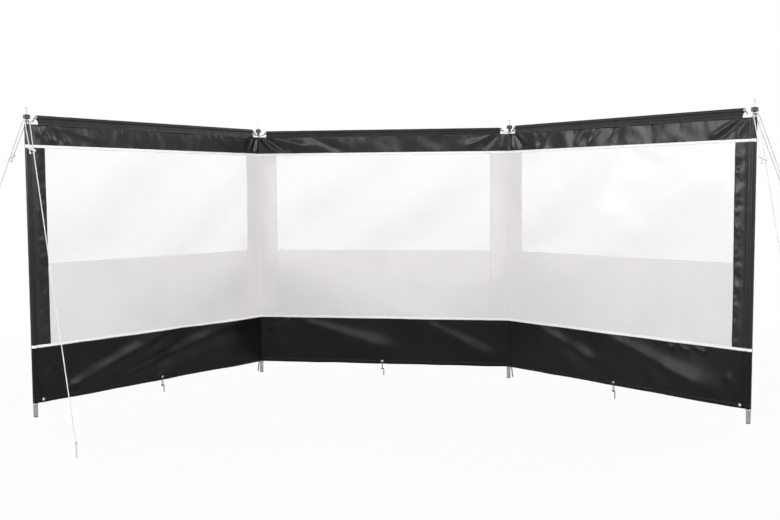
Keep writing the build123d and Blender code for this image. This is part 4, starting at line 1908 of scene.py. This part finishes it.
@dataclass(frozen=True)
class Lamp:
    """A softbox: a large flat lamp that faces a point."""

    name: str
    place: tuple[float, float, float]
    aim: tuple[float, float, float]
    size: tuple[float, float]
    power: float

    def hang(self) -> None:
        """Hangs the lamp."""
        data = bpy.data.lights.new(self.name, "AREA")
        data.shape = "RECTANGLE"
        data.size, data.size_y = self.size
        data.energy = self.power
        lamp = bpy.data.objects.new(self.name, data)
        lamp.location = self.place
        lamp.rotation_euler = (Vector(self.aim) - Vector(self.place)).to_track_quat("-Z", "Y").to_euler()
        bpy.context.scene.collection.objects.link(lamp)


@dataclass(frozen=True)
class Studio:
    """A pale floor, a white surround, soft lamps and the photograph's camera."""

    floor_half: float = 60.0
    floor_colour: str = "#c6c6c6"
    floor_glow: float = 0.95
    row_middle: tuple[float, float, float] = (0.9, -0.6, 0.0)
    shadow_near: float = 2.6
    shadow_far: float = 4.6
    surround: float = 0.12
    lamps: tuple[Lamp, ...] = (
        Lamp("key_softbox", (-5.0, -3.95, 2.4), (1.4, -0.4, 0.9), (3.0, 2.4), 248.0),
        Lamp("fill_softbox", (6.4, -3.6, 3.0), (0.4, -0.5, 0.9), (3.0, 2.4), 228.0),
        Lamp("front_softbox", (0.4, -5.2, 3.2), (0.8, -0.2, 0.8), (4.5, 1.6), 155.0),
        Lamp("back_left_softbox", (-4.0, 3.6, 3.0), (0.2, -0.3, 0.9), (3.0, 2.4), 255.0),
        Lamp("back_right_softbox", (5.6, 4.0, 3.0), (1.4, -0.3, 0.9), (3.0, 2.4), 255.0),
    )
    camera_place: tuple[float, float, float] = (1.658, -5.555, 1.081)
    camera_yaw: float = 8.8
    camera_pitch: float = 3.98
    camera_roll: float = -0.29
    focal_pixels: float = 948.26
    sensor: float = 36.0

    def build(self) -> None:
        """Sets up everything that isn't part of the windbreak."""
        self.lay_floor()
        self.light_surround()
        for lamp in self.lamps:
            lamp.hang()
        self.set_camera()
        bpy.context.scene.view_settings.view_transform = "Standard"

    def seen(self, tree: bpy.types.NodeTree) -> bpy.types.NodeSocket:
        """Whether a ray shows the surround itself: straight, in a gloss or through the film.

        Args:
            tree: The node tree that gets the nodes.

        Returns:
            1 for such a ray and 0 for any other.
        """
        path = add(tree, "ShaderNodeLightPath").outputs
        either = add(
            tree,
            "ShaderNodeMath",
            {0: path["Is Camera Ray"], 1: path["Is Glossy Ray"]},
            operation="MAXIMUM",
        )
        return add(
            tree,
            "ShaderNodeMath",
            {0: either.outputs[0], 1: path["Is Transmission Ray"]},
            operation="MAXIMUM",
        ).outputs[0]

    def lay_floor(self) -> None:
        """Lays the floor just under the feet. It looks white but keeps a soft shadow."""
        half = self.floor_half
        mesh = bpy.data.meshes.new("studio_floor")
        level = -0.4 * MM
        corners = [(-half, -half, level), (half, -half, level), (half, half, level), (-half, half, level)]
        mesh.from_pydata(corners, [], [(0, 1, 2, 3)])
        floor = bpy.data.objects.new("studio_floor", mesh)
        bpy.context.scene.collection.objects.link(floor)
        material = bpy.data.materials.new("studio_floor_paint")
        material.use_nodes = True
        tree = material.node_tree
        tree.nodes.clear()
        paint = add(tree, "ShaderNodeBsdfDiffuse", {"Color": linear(self.floor_colour)})
        glow = add(tree, "ShaderNodeEmission", {"Color": (1.0, 1.0, 1.0, 1.0), "Strength": 1.0})
        place = add(tree, "ShaderNodeTexCoord").outputs["Object"]
        away = add(tree, "ShaderNodeVectorMath", {0: place, 1: self.row_middle}, operation="DISTANCE")
        fade = spread(
            tree, away.outputs["Value"], self.shadow_near, self.shadow_far, self.floor_glow, 1.0
        )
        share = add(tree, "ShaderNodeMath", {0: self.seen(tree), 1: fade}, operation="MULTIPLY")
        mixed = add(
            tree,
            "ShaderNodeMixShader",
            {0: share.outputs[0], 1: paint.outputs["BSDF"], 2: glow.outputs["Emission"]},
        )
        add(tree, "ShaderNodeOutputMaterial", {"Surface": mixed.outputs["Shader"]})
        mesh.materials.append(material)

    def light_surround(self) -> None:
        """Makes the surround white to the eye and softer as a light."""
        world = bpy.data.worlds.new("studio")
        world.use_nodes = True
        tree = world.node_tree
        tree.nodes.clear()
        soft = add(tree, "ShaderNodeBackground", {"Color": (1.0, 1.0, 1.0, 1.0), "Strength": self.surround})
        white = add(tree, "ShaderNodeBackground", {"Color": (1.0, 1.0, 1.0, 1.0), "Strength": 1.0})
        mixed = add(
            tree,
            "ShaderNodeMixShader",
            {0: self.seen(tree), 1: soft.outputs["Background"], 2: white.outputs["Background"]},
        )
        add(tree, "ShaderNodeOutputWorld", {"Surface": mixed.outputs["Shader"]})
        bpy.context.scene.world = world

    def set_camera(self) -> None:
        """Puts the camera where the photograph was taken from."""
        data = bpy.data.cameras.new("photo_camera")
        data.sensor_fit = "HORIZONTAL"
        data.sensor_width = self.sensor
        data.lens = self.focal_pixels * self.sensor / PHOTO_WIDTH
        camera = bpy.data.objects.new("photo_camera", data)
        turn = Matrix.Rotation(math.radians(self.camera_yaw), 4, "Z")
        tilt = Matrix.Rotation(math.radians(90 - self.camera_pitch), 4, "X")
        roll = Matrix.Rotation(math.radians(self.camera_roll), 4, "Z")
        camera.matrix_world = Matrix.Translation(self.camera_place) @ turn @ tilt @ roll
        bpy.context.scene.collection.objects.link(camera)
        bpy.context.scene.camera = camera


def eyelet_places(row: Row, levels: Levels) -> tuple[tuple[float, float], ...]:
    """Where the eyelets are along the cloth, and their height.

    Args:
        row: The row of poles.
        levels: The cloth's seams.

    Returns:
        Pairs of distance along the cloth and height.
    """
    rise, corner = 15 * MM, 36 * MM
    height = levels.bottom + rise
    bay = (row.poles[1] - row.poles[0]).length
    places = [row.stops[0] + corner, row.stops[0] + bay / 2]
    fold_gap = row.cloth_depth * math.tan(row.fronts[0].angle(row.fronts[1]) / 2)
    lost = fold_gap - (row.stops[1] - row.stops[0] - (bay - fold_gap))
    places.append(row.stops[1] + bay / 2 - lost)
    places += [row.stops[3] - bay / 2, row.stops[3] - corner]
    return tuple((place, height) for place in places)


def main() -> None:
    """Builds the windbreak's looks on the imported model, then the studio."""
    logging.basicConfig(level=logging.INFO, format="%(name)s: %(message)s")
    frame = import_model()
    row = Row.from_frame()
    levels = Levels.from_frame()
    workshop = Workshop()
    finishes = Finishes()
    drape = Drape(row, levels, eyelet_places(row, levels))
    tailor = Tailor(row, levels, drape, workshop, finishes)
    Bands(tailor).build()
    Panes(tailor).build()
    RailSleeves(tailor).build()
    PolePockets(tailor).build()
    Stitching(tailor).build()
    for guy in GUY_ROPES:
        guy.build(row, workshop, finishes)
    FootFittings(row, levels, workshop, finishes).build()
    Hardware(workshop, finishes).build(frame["nodes"])
    Studio().build()


if __name__ == "__main__":
    main()
